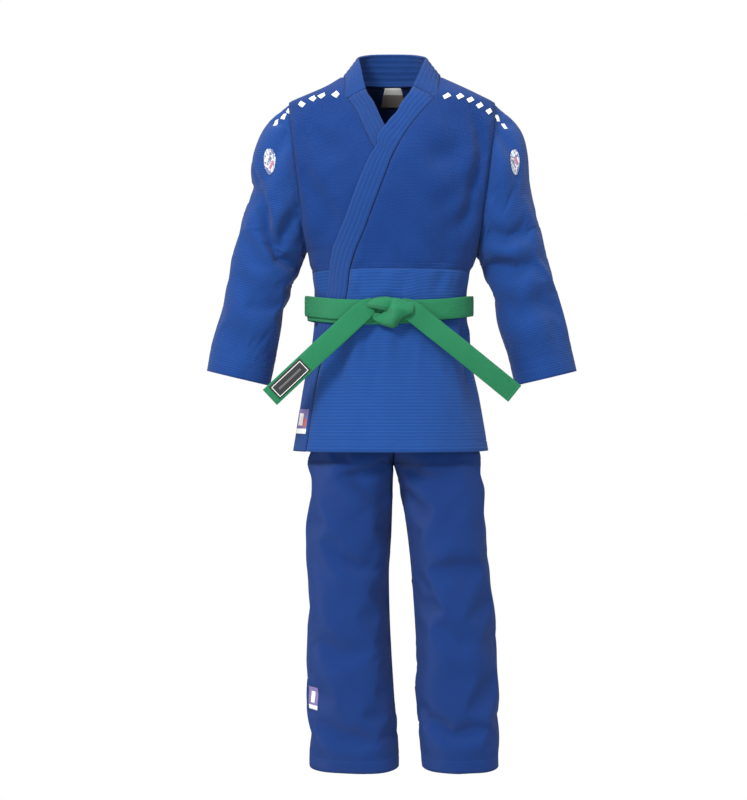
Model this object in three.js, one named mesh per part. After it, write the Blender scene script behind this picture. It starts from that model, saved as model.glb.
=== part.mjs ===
// A judo-style martial arts uniform, hanging as it is worn: a wrapped jacket, a knotted belt
// and trousers. Millimetres, +Z up, the front faces -Y and the wearer's left is +X.
// Heights are measured up from the trouser hems, and the last lines move the origin to the neck.
import * as THREE from "three";

// Heights
const hangHeight = 1372;
const shoulderHeight = 1318;
const armpitHeight = 1024;
const chestHeight = 1150;
const waistSeamHeight = 981;
const beltHeight = 914;
const hipHeight = 728;
const skirtHemHeight = 628;
const lapelTopHeight = 1310;

// Jacket body: half widths, half depths and the sideways hang of each level
const neckHalfWidth = 95;
const shoulderHalfWidth = 206;
const chestHalfWidth = 168;
const waistHalfWidth = 156;
const beltHalfWidth = 149;
const hipHalfWidth = 173;
const hemHalfWidth = 190;
const neckHalfDepth = 60;
const shoulderHalfDepth = 98;
const chestHalfDepth = 124;
const waistHalfDepth = 108;
const beltHalfDepth = 106;
const hipHalfDepth = 118;
const hemHalfDepth = 126;
const armholeHalfDepth = 88;
const hemSway = -5;
const beltSway = -6;

// Cloth
const jacketThickness = 2.2;
const trouserThickness = 1.8;
const liningThickness = 1.2;
const patchThickness = 0.9;
const bandThickness = 5;
const bandRaise = 2;
const bandWidth = 45;
const overlapLift = 6;
const seamGap = 0.4;
const layerGap = 0.6;
const collarLean = 0.16;
const yokeDepth = 120;

// Sleeves
const sleeveAngle = 13.4;
const sleeveLength = 485;
const sleeveCapOut = 50;
const sleeveCapDrop = 60;
const cuffWidth = 127;
const cuffHalfDepth = 57;
const cuffFacingHeight = 42;

// Belt
const beltWidth = 40;
const beltThickness = 3.6;
const beltDip = 15;
const beltSag = 10;
const knotX = -11;
const knotHeight = 901;
const knotHalfHeight = 20;
const tailPivotSpread = 36;
const tailPivotHeight = 907;
const tailRootRadius = 14;
const tailAngleRight = 47;
const tailAngleLeft = 51;
const tailLengthRight = 256;
const tailLengthLeft = 266;
const tailLean = 6;
const beltLabelLength = 80;
const beltLabelWidth = 30;

// Trousers
const trouserMiddle = 3;
const waistbandTopHeight = 1002;
const waistbandHeight = 40;
const waistbandThickness = 3.4;
const seatRiseHeight = 800;
const crotchHeight = 600;
const kneeHeight = 380;
const hipAxisHeight = 612;
const hipHingeRadius = 91;
const hipHingeGap = 0.8;
const legHalfDepth = 86;
const kneeHalfDepth = 80;
const legHemHalfDepth = 76;
const trouserWaistHalfWidth = 132;
const trouserHipHalfWidth = 144;
const trouserSeatHalfWidth = 168;
const trouserWaistHalfDepth = 90;
const trouserHipHalfDepth = 102;
const legInnerLeft = [[0, 61], [kneeHeight, 39], [550, 17], [crotchHeight, trouserMiddle + seamGap / 2]];
const legOuterLeft = [[0, 210], [kneeHeight, 201], [550, 188], [crotchHeight, 177]];
const legInnerRight = [[0, 13], [kneeHeight, -6], [464, -1], [crotchHeight, trouserMiddle - seamGap / 2]];
const legOuterRight = [[0, -163], [kneeHeight, -168], [crotchHeight, -167]];

const degrees = Math.PI / 180;
const shape = 2 / 2.3;
const { lerp, clamp, smoothstep } = THREE.MathUtils;

const jacketBlue = { color: 0x2a4f9a, roughness: 0.95 };
const lapelBlue = { color: 0x2d529b, roughness: 0.95 };
const trouserBlue = { color: 0x25458a, roughness: 0.95 };
const beltGreen = { color: 0x3a9668, roughness: 0.9 };
const labelWhite = { color: 0xd8d8d4, roughness: 0.85 };
const labelBlack = { color: 0x16181c, roughness: 0.8 };
const brassGrey = { color: 0x8f8f88, roughness: 0.4, metalness: 0.8 };

const uniform = new THREE.Group();

function addMesh(name, geometry, look) {
  geometry.computeVertexNormals();
  const material = new THREE.MeshStandardMaterial({ metalness: 0, ...look });
  const mesh = new THREE.Mesh(geometry, material);
  mesh.name = name;
  uniform.add(mesh);
}

// A smooth curve through [position, value] knots that never overshoots them.
function profile(knots) {
  const slope = knots.slice(1).map(([x, y], i) => (y - knots[i][1]) / (x - knots[i][0]));
  const tangent = knots.map((_, i) => {
    const before = slope[i - 1];
    const after = slope[i];
    if (before === undefined) return after;
    if (after === undefined) return before;
    return before * after <= 0 ? 0 : (2 * before * after) / (before + after);
  });
  return (at) => {
    const x = clamp(at, knots[0][0], knots.at(-1)[0]);
    const i = Math.max(0, knots.findIndex(([knot], k) => k > 0 && x <= knot) - 1);
    const [x0, y0] = knots[i];
    const [x1, y1] = knots[i + 1];
    const h = x1 - x0;
    const t = (x - x0) / h;
    const ease = t * t * (3 - 2 * t);
    const lead = h * t * (1 - t) * ((1 - t) * tangent[i] - t * tangent[i + 1]);
    return lerp(y0, y1, ease) + lead;
  };
}

// Evenly divides each stretch between the stops, with no step longer than `step`.
function ladder(stops, step) {
  const rungs = [stops[0]];
  for (let i = 1; i < stops.length; i++) {
    const count = Math.max(1, Math.round(Math.abs(stops[i] - stops[i - 1]) / step));
    for (let k = 1; k <= count; k++) rungs.push(lerp(stops[i - 1], stops[i], k / count));
  }
  return rungs;
}

const shares = (count) => ladder([0, 1], 1 / count);

// A closed sheet of cloth: point(u, v, lift) gives its surface, u runs along the front from
// -X to +X and v runs upwards, and the sheet fills the space from lift `under` to lift `over`.
function clothSheet(us, vs, point, over, under, closed = false) {
  const columns = us.length;
  const positions = [];
  for (const lift of [over, under]) {
    for (const v of vs) {
      for (const u of us) positions.push(...point(u, v, lift));
    }
  }
  const faces = [];
  const quad = (a, b, c, d) => faces.push(a, b, c, a, c, d);
  const outer = (i, j) => j * columns + (i % columns);
  const inner = (i, j) => (vs.length + j) * columns + (i % columns);
  const across = closed ? columns : columns - 1;
  const up = vs.length - 1;
  for (let i = 0; i < across; i++) {
    for (let j = 0; j < up; j++) {
      quad(outer(i, j), outer(i + 1, j), outer(i + 1, j + 1), outer(i, j + 1));
      quad(inner(i, j), inner(i, j + 1), inner(i + 1, j + 1), inner(i + 1, j));
    }
    quad(outer(i + 1, 0), outer(i, 0), inner(i, 0), inner(i + 1, 0));
    quad(outer(i, up), outer(i + 1, up), inner(i + 1, up), inner(i, up));
  }
  for (let j = 0; j < up && !closed; j++) {
    quad(outer(across, j + 1), outer(across, j), inner(across, j), inner(across, j + 1));
    quad(outer(0, j), outer(0, j + 1), inner(0, j + 1), inner(0, j));
  }
  const geometry = new THREE.BufferGeometry();
  geometry.setAttribute("position", new THREE.Float32BufferAttribute(positions, 3));
  geometry.setIndex(faces);
  return geometry;
}

// ---------------------------------------------------------------- Jacket body

const lowerHalfWidth = profile([
  [skirtHemHeight, hemHalfWidth],
  [hipHeight, hipHalfWidth],
  [beltHeight - beltWidth, beltHalfWidth],
  [beltHeight + beltWidth * 0.75, beltHalfWidth],
  [waistSeamHeight, waistHalfWidth],
  [armpitHeight, chestHalfWidth],
]);

const halfDepth = profile([
  [skirtHemHeight, hemHalfDepth],
  [hipHeight, hipHalfDepth],
  [beltHeight - beltWidth, beltHalfDepth],
  [beltHeight + beltWidth * 0.75, beltHalfDepth],
  [waistSeamHeight, waistHalfDepth],
  [chestHeight, chestHalfDepth],
  [shoulderHeight, shoulderHalfDepth],
  [hangHeight, neckHalfDepth],
]);

const sway = profile([
  [skirtHemHeight, hemSway],
  [beltHeight - beltWidth, beltSway],
  [beltHeight + beltWidth * 0.75, beltSway],
  [armpitHeight, 0],
  [hangHeight, 0],
]);

function halfWidth(z) {
  if (z <= armpitHeight) return lowerHalfWidth(z);
  const up = (z - armpitHeight) / (shoulderHeight - armpitHeight);
  if (up <= 1) return lerp(chestHalfWidth, shoulderHalfWidth, up);
  const over = (z - shoulderHeight) / (hangHeight - shoulderHeight);
  return lerp(shoulderHalfWidth, neckHalfWidth, over);
}

// How far the armhole's edge stands from the side plane: an ellipse from armpit to shoulder.
function armholeOpen(z) {
  const middle = (armpitHeight + shoulderHeight) / 2;
  const reach = (shoulderHeight - armpitHeight) / 2;
  return Math.sqrt(Math.max(0, 1 - ((z - middle) / reach) ** 2));
}

// A point of the jacket body. Angle 0 is the middle of the face and +-90 degrees its sides.
function bodyPoint(face, angle, z, lift) {
  const open = armholeOpen(z);
  const s = Math.sin(angle);
  const c = Math.max(0, Math.cos(angle));
  const edge = open * armholeHalfDepth * Math.abs(s) ** 3;
  const wide = halfWidth(z) + 1.3 * lift * (1 - open * Math.abs(s));
  const across = wide * Math.sign(s) * Math.abs(s) ** shape;
  const rise = (halfDepth(z) + lift - edge) * c ** shape;
  const depth = edge + lift * open * (1 - c ** shape) + rise + seamGap / 2;
  return new THREE.Vector3(sway(z) - face * across, face * depth, z);
}

const frontPoint = (angle, z, lift) => bodyPoint(-1, angle, z, lift);
const backPoint = (angle, z, lift) => bodyPoint(1, angle, z, lift);

// The same surface all round: 0 is the front, 90 degrees the wearer's left.
function roundPoint(angle, z, lift) {
  const turn = Math.atan2(Math.sin(angle), Math.cos(angle));
  if (Math.abs(turn) <= 90 * degrees + 1e-9) return frontPoint(turn, z, lift);
  return backPoint(turn - Math.sign(turn) * 180 * degrees, z, lift);
}

// Height to angle of the seam between each front and its lapel band, in degrees.
const seamLeft = profile([
  [skirtHemHeight, -53], [778, -52], [865, -40], [927, -29], [waistSeamHeight, -25.5],
  [1065, -13.4], [1159, -3], [1209, 1], [1245, 5.5], [1289, 14],
  [1332, 26], [1352, 38], [1365, 54], [hangHeight, 88],
]);
const seamRight = profile([
  [skirtHemHeight, 53], [778, 52], [865, 40], [927, 29], [waistSeamHeight, 25],
  [1065, 13], [1159, 0], [1220, -9.7], [1255, -13.8], [1289, -18],
  [1332, -33], [1352, -47], [1365, -61], [hangHeight, -88],
]);

// The left front lies over the right one; its lift fades out at its own side seam and shoulder.
function wrapLift(angle, z) {
  const fade = lerp(12, 30, smoothstep(z, beltHeight, armpitHeight)) * degrees;
  const fromSide = smoothstep(90 * degrees - angle, 0, fade);
  const fromShoulder = 1 - smoothstep(z, lapelTopHeight - 20, hangHeight);
  return overlapLift * fromSide * fromShoulder;
}

const fronts = {
  left: {
    seam: (z) => seamLeft(z) * degrees,
    edgeSign: -1,
    lift: wrapLift,
  },
  right: {
    seam: (z) => seamRight(z) * degrees,
    edgeSign: 1,
    lift: () => 0,
  },
};

function frontPanel(side, heights) {
  const { seam, lift } = fronts[side];
  const point = (u, z, grow) => {
    const gap = (layerGap / halfWidth(z)) * (side === "left" ? 1 : -1);
    const from = side === "left" ? seam(z) + gap : -90 * degrees;
    const to = side === "left" ? 90 * degrees : seam(z) + gap;
    const angle = lerp(from, to, u);
    return frontPoint(angle, z, lift(angle, z) + grow);
  };
  return clothSheet(shares(9), heights, point, 0, -jacketThickness);
}

const shoulderRows = [shoulderHeight + 10, 1344, 1356, 1365];
const upperHeights = ladder([waistSeamHeight + seamGap, armpitHeight, chestHeight, lapelTopHeight], 40)
  .concat(shoulderRows);
const backHeights = ladder([waistSeamHeight + seamGap, armpitHeight, 1110, 1210, shoulderHeight], 50)
  .concat([1336, 1354, hangHeight - seamGap]);
const skirtHeights = ladder([skirtHemHeight, hipHeight, 870, 950, waistSeamHeight], 50);
const sideToSide = ladder([-90 * degrees, 90 * degrees], 16.4 * degrees);

addMesh("back_panel", clothSheet(sideToSide, backHeights, backPoint, 0, -jacketThickness), jacketBlue);
addMesh("front_panel_left", frontPanel("left", upperHeights), jacketBlue);
addMesh("front_panel_right", frontPanel("right", upperHeights), jacketBlue);
addMesh("skirt_back", clothSheet(sideToSide, skirtHeights, backPoint, 0, -jacketThickness), jacketBlue);
addMesh("skirt_front_left", frontPanel("left", skirtHeights), jacketBlue);
addMesh("skirt_front_right", frontPanel("right", skirtHeights), jacketBlue);

const yokeUnder = -jacketThickness - layerGap;
const yokeAngles = sideToSide.slice(2, -2);
const yokeHeights = backHeights.filter((z) => z > shoulderHeight - yokeDepth);
const yokeLining = clothSheet(yokeAngles, yokeHeights, backPoint, yokeUnder, yokeUnder - liningThickness);
addMesh("yoke_lining", yokeLining, jacketBlue);

const labelUnder = yokeUnder - liningThickness - layerGap;
const labelAngles = [-8 * degrees, 5.5 * degrees];
const labelHeights = backHeights.filter((z) => z >= shoulderHeight && z < hangHeight - 10);
const neckLabel = clothSheet(labelAngles, labelHeights, backPoint, labelUnder, labelUnder - patchThickness);
addMesh("neck_label", neckLabel, labelWhite);

// ---------------------------------------------------------------- Lapel and collar band

// A point on a lapel band: share 0 is its seam and share 1 its free edge.
function bandPoint(side, share, z, grow) {
  const { seam, edgeSign, lift } = fronts[side];
  const angle = seam(z);
  const slope = (seam(z + 1) - seam(z - 1)) / 2;
  const radius = frontPoint(angle + 0.01, z, 0).distanceTo(frontPoint(angle - 0.01, z, 0)) / 0.02;
  const rake = radius * slope;
  const length = Math.hypot(1, rake);
  const reach = share * bandWidth;
  const shifted = angle + (edgeSign * reach) / length / radius;
  const height = z - (edgeSign * reach * rake) / length;
  return frontPoint(shifted, height, lift(shifted, height) + grow);
}

const lapelHeights = skirtHeights.concat(upperHeights.filter((z) => z > armpitHeight - 1 && z <= lapelTopHeight));
for (const side of ["left", "right"]) {
  const raise = side === "left" ? bandRaise : bandRaise - 0.5;
  const point = (u, z, grow) => bandPoint(side, side === "left" ? 1 - u : u, z, grow);
  const lapel = clothSheet(shares(2), lapelHeights, point, raise, raise - bandThickness);
  addMesh(`lapel_${side}`, lapel, lapelBlue);
}

// The standing collar: up the left front, round the back of the neck and down the right front.
const rampHeights = [lapelTopHeight + seamGap * 1.8, ...shoulderRows, hangHeight];
const collarStations = [
  ...rampHeights.map((z) => ({ side: "left", z })),
  ...ladder([-76 * degrees, 76 * degrees], 17 * degrees).map((angle) => ({ angle, z: hangHeight })),
  ...rampHeights.map((z) => ({ side: "right", z })).reverse(),
];

function collarPoint(station, share, grow) {
  const { side, z } = collarStations[station];
  const rise = new THREE.Vector3(0, 0, 1);
  let root;
  let outward;
  if (side) {
    const up = (z - rampHeights[0]) / (hangHeight - rampHeights[0]);
    root = bandPoint(side, 0, z, 0);
    const flat = bandPoint(side, 1, lapelTopHeight, 0).sub(bandPoint(side, 0, lapelTopHeight, 0));
    rise.x = -Math.sign(root.x) * 0.42;
    rise.normalize().lerp(flat.normalize(), (1 - up) ** 1.5).normalize();
    outward = bodyPoint(-1, fronts[side].seam(z), z, 5).sub(bodyPoint(-1, fronts[side].seam(z), z, 0));
  } else {
    root = backPoint(collarStations[station].angle, z, 0);
    rise.set(-root.x, -root.y, 0).normalize().multiplyScalar(collarLean).setZ(1).normalize();
    outward = new THREE.Vector3(root.x, root.y, 0);
  }
  outward.normalize();
  return root.addScaledVector(rise, layerGap + share * bandWidth).addScaledVector(outward, grow);
}

const collarRow = collarStations.map((_, index) => index);
const neckBand = clothSheet(collarRow, shares(2), collarPoint, bandRaise, bandRaise - bandThickness);
addMesh("neck_band", neckBand, lapelBlue);

// ---------------------------------------------------------------- Side vent patches

const ventHeights = skirtHeights.slice(3, 5);
const ventUnder = -jacketThickness - layerGap;
for (const [side, angles] of [["left", sideToSide.slice(0, 2)], ["right", sideToSide.slice(-2)]]) {
  const patch = clothSheet(angles, ventHeights, backPoint, ventUnder, ventUnder - liningThickness);
  addMesh(`side_vent_patch_${side}`, patch, jacketBlue);
}

// ---------------------------------------------------------------- Sleeves

const sleeveDown = new THREE.Vector3(Math.sin(sleeveAngle * degrees), 0, -Math.cos(sleeveAngle * degrees));
const cuffIn = new THREE.Vector3(-Math.cos(sleeveAngle * degrees), 0, -Math.sin(sleeveAngle * degrees));
const sleeveTop = new THREE.Vector3(shoulderHalfWidth + seamGap, 0, shoulderHeight);
const armpit = new THREE.Vector3(chestHalfWidth + seamGap, 0, armpitHeight);
const sleeveCap = sleeveTop.clone().add(new THREE.Vector3(sleeveCapOut, 0, -sleeveCapDrop));
const cuffOuter = sleeveCap.clone().addScaledVector(sleeveDown, sleeveLength);
const cuffInner = cuffOuter.clone().addScaledVector(cuffIn, cuffWidth);
const underarm = cuffInner.clone().addScaledVector(sleeveDown, -0.49 * sleeveLength);

const along = (start, end, share) => start.clone().lerp(end, share);
const sleeveOuterLine = new THREE.CatmullRomCurve3([
  sleeveTop,
  sleeveCap,
  along(sleeveCap, cuffOuter, 0.25),
  along(sleeveCap, cuffOuter, 0.475),
  cuffOuter,
]);
const sleeveInnerLine = new THREE.CatmullRomCurve3([
  armpit,
  along(armpit, underarm, 1 / 3),
  along(armpit, underarm, 2 / 3),
  underarm,
  cuffInner,
]);
const sleeveHalfDepth = profile([[0, armholeHalfDepth], [0.5, 78], [0.75, 70], [1, cuffHalfDepth]]);

// A point of a sleeve: run 0 is the armhole and run 1 the cuff.
function sleevePoint(sign, angle, run, lift) {
  const outer = sleeveOuterLine.getPoint(run);
  const inner = sleeveInnerLine.getPoint(run);
  const centre = along(outer, inner, 0.5);
  const half = outer.distanceTo(inner) / 2 + lift;
  const outward = outer.sub(inner).normalize();
  const depth = sleeveHalfDepth(run) + lift;
  const point = centre.addScaledVector(outward, sign * Math.sin(angle) * half);
  return new THREE.Vector3(sign * point.x, -Math.cos(angle) * depth, point.z);
}

const roundAngles = (count) => ladder([0, 360 * degrees * (1 - 1 / count)], (360 * degrees) / count);
const sleeveRuns = ladder([1, 0.75, 0], 0.125);
const facingStart = 1 - (0.25 * cuffFacingHeight) / (0.525 * sleeveLength);

for (const [side, sign] of [["left", 1], ["right", -1]]) {
  const point = (angle, run, lift) => sleevePoint(sign, angle, run, lift);
  const sleeve = clothSheet(roundAngles(16), sleeveRuns, point, 0, -jacketThickness, true);
  addMesh(`sleeve_${side}`, sleeve, jacketBlue);

  const under = -jacketThickness - layerGap;
  const facing = clothSheet(roundAngles(16), [1, facingStart], point, under, under - liningThickness, true);
  addMesh(`cuff_facing_${side}`, facing, jacketBlue);

  const badgeAngles = ladder([sign * 24 * degrees, sign * 48 * degrees].sort((a, b) => a - b), 8 * degrees);
  const badgeRuns = ladder([0.36, 0.24], 0.03);
  const badge = clothSheet(badgeAngles, badgeRuns, point, layerGap + patchThickness, layerGap);
  addMesh(`sleeve_badge_${side}`, badge, labelWhite);
}

// ---------------------------------------------------------------- Lapel badge

const badgePoint = (u, z, grow) => bandPoint("left", lerp(0.85, 0.12, u), z, grow);
const lapelBadgeUnder = bandRaise + layerGap;
const lapelBadge = clothSheet(
  shares(2), ladder([662, 710], 24), badgePoint, lapelBadgeUnder + patchThickness, lapelBadgeUnder);
addMesh("lapel_badge", lapelBadge, labelWhite);

// ---------------------------------------------------------------- Belt

// Clears the wrapped fronts at the front of the waist and lies on the jacket at the back.
function beltLift(angle) {
  const turn = Math.abs(Math.atan2(Math.sin(angle), Math.cos(angle)));
  return layerGap + (overlapLift + bandRaise) * (1 - smoothstep(turn, 78 * degrees, 100 * degrees));
}

function beltPoint(angle, z, lift) {
  const point = roundPoint(angle, beltHeight, beltLift(angle) + lift);
  return point.setZ(z - beltDip * Math.max(0, Math.cos(angle)) ** 2);
}

const innerWrapPoint = (angle, z, lift) => {
  const point = beltPoint(angle, z, lift);
  point.z += (beltSag / 2) * (Math.sin(angle) - 1);
  return point;
};
const wrapHeights = [beltHeight - beltWidth / 2, beltHeight + beltWidth / 2];
const outerWrapLift = beltThickness + seamGap;
const innerWrap = clothSheet(roundAngles(48), wrapHeights, innerWrapPoint, beltThickness, 0, true);
const outerWrap = clothSheet(
  roundAngles(48), wrapHeights, beltPoint, outerWrapLift + beltThickness, outerWrapLift, true);
addMesh("belt_wrap_inner", innerWrap, beltGreen);
addMesh("belt_wrap_outer", outerWrap, beltGreen);

// A rounded cushion with half sizes `reach` about `centre`.
function cushion(centre, reach) {
  const geometry = new THREE.SphereGeometry(1, 14, 9);
  const position = geometry.getAttribute("position");
  for (let i = 0; i < position.count; i++) {
    const unit = [position.getX(i), position.getY(i), position.getZ(i)];
    const [x, y, z] = unit.map((value) => Math.sign(value) * Math.abs(value) ** 0.7);
    position.setXYZ(i, centre.x + x * reach.x, centre.y + y * reach.y, centre.z + z * reach.z);
  }
  return geometry;
}

const wrapFace = -frontPoint(0, beltHeight, beltLift(0) + outerWrapLift + beltThickness).y;
const knotCoreDepth = 3.4;
const knotCore = new THREE.Vector3(knotX, -wrapFace - seamGap - knotCoreDepth, knotHeight);
addMesh("belt_knot_core", cushion(knotCore, new THREE.Vector3(20, knotCoreDepth, knotHalfHeight)), beltGreen);

const knotCrossDepth = 8;
const knotCross = knotCore.clone();
knotCross.y -= knotCoreDepth + seamGap + knotCrossDepth;
addMesh("belt_knot_cross", cushion(knotCross, new THREE.Vector3(46, knotCrossDepth, knotHalfHeight)), beltGreen);

const lobeHalfHeight = 9;
const knotLobe = knotCore.clone();
knotLobe.add(new THREE.Vector3(-2, -1, -knotHalfHeight - seamGap - lobeHalfHeight));
addMesh("belt_knot_lobe", cushion(knotLobe, new THREE.Vector3(17, 7, lobeHalfHeight)), beltGreen);

// A belt end lies in a plane that leans forward from its pivot behind the knot.
const leanDown = new THREE.Vector3(0, -Math.sin(tailLean * degrees), -Math.cos(tailLean * degrees));
const leanOut = new THREE.Vector3(0, -Math.cos(tailLean * degrees), Math.sin(tailLean * degrees));
const belts = {
  left: { sign: 1, angle: tailAngleLeft, length: tailLengthLeft },
  right: { sign: -1, angle: tailAngleRight, length: tailLengthRight },
};

// Depth of the outer wrap's face at the edge of a belt end's root nearest the knot.
function tailPivotDepth(sign) {
  const lift = beltLift(0) + outerWrapLift + beltThickness;
  const out = Math.abs(knotX + sign * (tailPivotSpread - tailRootRadius) - beltSway);
  const share = out / (halfWidth(beltHeight) + 1.3 * lift);
  const face = (halfDepth(beltHeight) + lift) * (1 - share ** (2 / shape)) ** (shape / 2);
  return face + seamGap / 2 + beltThickness / 2 + tailRootRadius * Math.tan(tailLean * degrees);
}

function tailPoint(side, across, run, lift) {
  const { sign, angle } = belts[side];
  const sideways = new THREE.Vector3(sign, 0, 0);
  const down = leanDown.clone().multiplyScalar(Math.cos(angle * degrees));
  const forward = down.addScaledVector(sideways, Math.sin(angle * degrees));
  const edgeways = leanOut.clone().cross(forward);
  return new THREE.Vector3(knotX + sign * tailPivotSpread, -tailPivotDepth(sign), tailPivotHeight)
    .addScaledVector(forward, run)
    .addScaledVector(edgeways, across)
    .addScaledVector(leanOut, lift);
}

const tailHalfWidth = profile([
  [-tailRootRadius, 5], [-tailRootRadius * 0.7, 10], [0, tailRootRadius], [40, beltWidth / 2],
  [tailLengthLeft, beltWidth / 2],
]);
for (const side of ["left", "right"]) {
  const runs = ladder([belts[side].length, 40, 0], 45).concat([-tailRootRadius * 0.7, -tailRootRadius]);
  const point = (u, run, lift) => tailPoint(side, u * tailHalfWidth(run), run, lift);
  const tail = clothSheet(ladder([-1, 1], 1), runs, point, beltThickness / 2, -beltThickness / 2);
  addMesh(`belt_tail_${side}`, tail, beltGreen);
}

const beltLabelEnd = tailLengthRight - 12;
const beltLabelPoint = (u, run, lift) => tailPoint("right", (u * beltLabelWidth) / 2, run, lift);
const beltLabelUnder = beltThickness / 2 + seamGap;
const beltLabel = clothSheet(
  [-1, 1], [beltLabelEnd, beltLabelEnd - beltLabelLength], beltLabelPoint,
  beltLabelUnder + patchThickness, beltLabelUnder);
addMesh("belt_label", beltLabel, labelBlack);

// ---------------------------------------------------------------- Trousers

const waistbandBottom = waistbandTopHeight - waistbandHeight;
const seatHalfWidth = profile([
  [crotchHeight, trouserSeatHalfWidth], [hipHeight, trouserHipHalfWidth],
  [waistbandBottom, trouserWaistHalfWidth], [waistbandTopHeight, trouserWaistHalfWidth],
]);
const seatHalfDepth = profile([
  [crotchHeight, trouserHipHalfDepth], [hipHeight, trouserHipHalfDepth],
  [waistbandBottom, trouserWaistHalfDepth], [waistbandTopHeight, trouserWaistHalfDepth],
]);
const legDepth = profile([[0, legHemHalfDepth], [kneeHeight, kneeHalfDepth], [500, legHalfDepth]]);
const legSides = {
  left: { sign: 1, inner: profile(legInnerLeft), outer: profile(legOuterLeft) },
  right: { sign: -1, inner: profile(legInnerRight), outer: profile(legOuterRight) },
};

// A leg's outline at height z: wind -1 and +1 are the inside seam, 0 the outside.
function legPoint(side, wind, z, lift) {
  const { inner, outer } = legSides[side];
  const centre = (inner(z) + outer(z)) / 2;
  const reach = (outer(z) - inner(z)) / 2;
  const c = Math.cos(Math.PI * wind);
  const s = Math.sin(Math.PI * wind);
  const wide = (reach + Math.sign(reach) * lift) * Math.sign(c) * Math.abs(c) ** shape;
  const deep = (legDepth(z) + lift) * Math.sign(s) * Math.abs(s) ** shape;
  return new THREE.Vector3(centre + wide, deep, z);
}

// Half of the seat at height z, open along the middle seam above the crotch.
function seatPoint(side, wind, z, lift) {
  const { sign } = legSides[side];
  const fall = clamp((seatRiseHeight - z) / (seatRiseHeight - crotchHeight), 0, 1);
  const narrow = 1 - Math.sqrt(1 - fall * fall);
  const c = Math.max(0, Math.cos((Math.PI * wind) / 2));
  const s = Math.sin((Math.PI * wind) / 2);
  const wide = sign * ((seatHalfWidth(z) + lift) * c ** shape + seamGap / 2);
  const deep = (seatHalfDepth(z) + lift) * Math.sign(s) * Math.abs(s) ** shape;
  const point = new THREE.Vector3(trouserMiddle + wide, deep, z).lerp(legPoint(side, wind, z, lift), narrow);
  point.y += (Math.sign(wind) * seamGap) / 2;
  return point;
}

// Height of the round cut about the hip axis at a given depth.
const hipCut = (depth, radius) => hipAxisHeight - Math.sqrt(radius * radius - depth * depth);

// Rows above 0 are heights; rows from 0 to -1 run from `start` to the round hip cut.
const withHipCut = (base, start, radius) => (side, wind, row, lift) => {
  if (row >= 0) return base(side, wind, row, lift);
  const depth = base(side, wind, start, lift).y;
  const z = lerp(start, hipCut(depth, radius), -row);
  return base(side, wind, z, lift).setY(depth);
};
const seatWithCut = withHipCut(seatPoint, crotchHeight, hipHingeRadius - hipHingeGap / 2);
const legWithCut = withHipCut(legPoint, 500, hipHingeRadius + hipHingeGap / 2);

const seatRows = [-1, -0.5, crotchHeight, 604, 612, 626, 648, 680, seatRiseHeight - 70, seatRiseHeight]
  .concat([860, waistbandBottom - seamGap]);
const legRows = ladder([0, kneeHeight, 500], 125).concat([-0.5, -1]);
const windStep = 1 / 16;
const sideStep = windStep / 2;
const windsOpen = ladder([-1, 1], windStep)
  .concat([sideStep - 1, -sideStep, sideStep, 1 - sideStep])
  .sort((a, b) => a - b);
const windsRound = windsOpen.slice(0, -1);
const waistAngles = roundAngles(24);

const waistRing = (angle, z, lift) => new THREE.Vector3(
  trouserMiddle + (trouserWaistHalfWidth + lift) * Math.sign(Math.sin(angle)) * Math.abs(Math.sin(angle)) ** shape,
  -(trouserWaistHalfDepth + lift) * Math.sign(Math.cos(angle)) * Math.abs(Math.cos(angle)) ** shape,
  z);
const waistband = clothSheet(
  waistAngles, [waistbandBottom, waistbandTopHeight], waistRing, waistbandThickness - 1.8, -1.8, true);
addMesh("trouser_waistband", waistband, trouserBlue);

const bandFace = trouserWaistHalfDepth + waistbandThickness - 1.8;
for (const [side, sign] of [["left", 1], ["right", -1]]) {
  const seat = clothSheet(
    windsOpen, seatRows, (u, row, lift) => seatWithCut(side, sign * u, row, lift), 0, -trouserThickness);
  addMesh(`trouser_seat_${side}`, seat, trouserBlue);

  const leg = clothSheet(
    windsRound, legRows, (u, row, lift) => legWithCut(side, sign * u, row, lift), 0, -trouserThickness, true);
  addMesh(`trouser_leg_${side}`, leg, trouserBlue);

  const kneeUnder = -trouserThickness - layerGap;
  const knee = clothSheet(
    ladder([-0.75, -0.25], windStep), ladder([kneeHeight - 90, kneeHeight, kneeHeight + 100], 60),
    (u, z, lift) => legPoint(side, sign > 0 ? u : -1 - u, z, lift), kneeUnder, kneeUnder - liningThickness);
  addMesh(`knee_lining_${side}`, knee, trouserBlue);

  const eyelet = new THREE.LatheGeometry(
    [[3, 0], [6, 0], [6, 0.8], [3, 0.8], [3, 0]].map(([x, y]) => new THREE.Vector2(x, y)), 16);
  eyelet.translate(trouserMiddle + sign * 18, -bandFace - 0.4, waistbandBottom + waistbandHeight / 2);
  addMesh(`drawstring_eyelet_${side}`, eyelet, brassGrey);

  const loopPoint = (u, v, lift) => waistRing(
    (sign * 30 + u * 2.2) * degrees,
    waistbandBottom + 4 + v * (waistbandHeight - 8),
    waistbandThickness - 1.5 + lift + 3.5 * Math.sin(Math.PI * v));
  addMesh(`drawstring_loop_${side}`, clothSheet([-1, 1], shares(6), loopPoint, 1.2, 0), trouserBlue);
}

const trouserBadge = clothSheet(
  ladder([-0.24, -0.13], 0.055), ladder([120, 164], 22),
  (u, z, lift) => legPoint("right", -u - 0.37, z, lift), layerGap + patchThickness, layerGap);
addMesh("trouser_badge", trouserBadge, labelWhite);

uniform.position.z = -hangHeight;
uniform.updateMatrixWorld(true);

export default uniform;
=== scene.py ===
"""A judo-style martial arts uniform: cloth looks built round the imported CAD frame.

Shapes are worked out in millimetres with heights measured up from the trouser hems, as in the
CAD part, and turned into metres in the row frame when a mesh is made.
"""

import math

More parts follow.
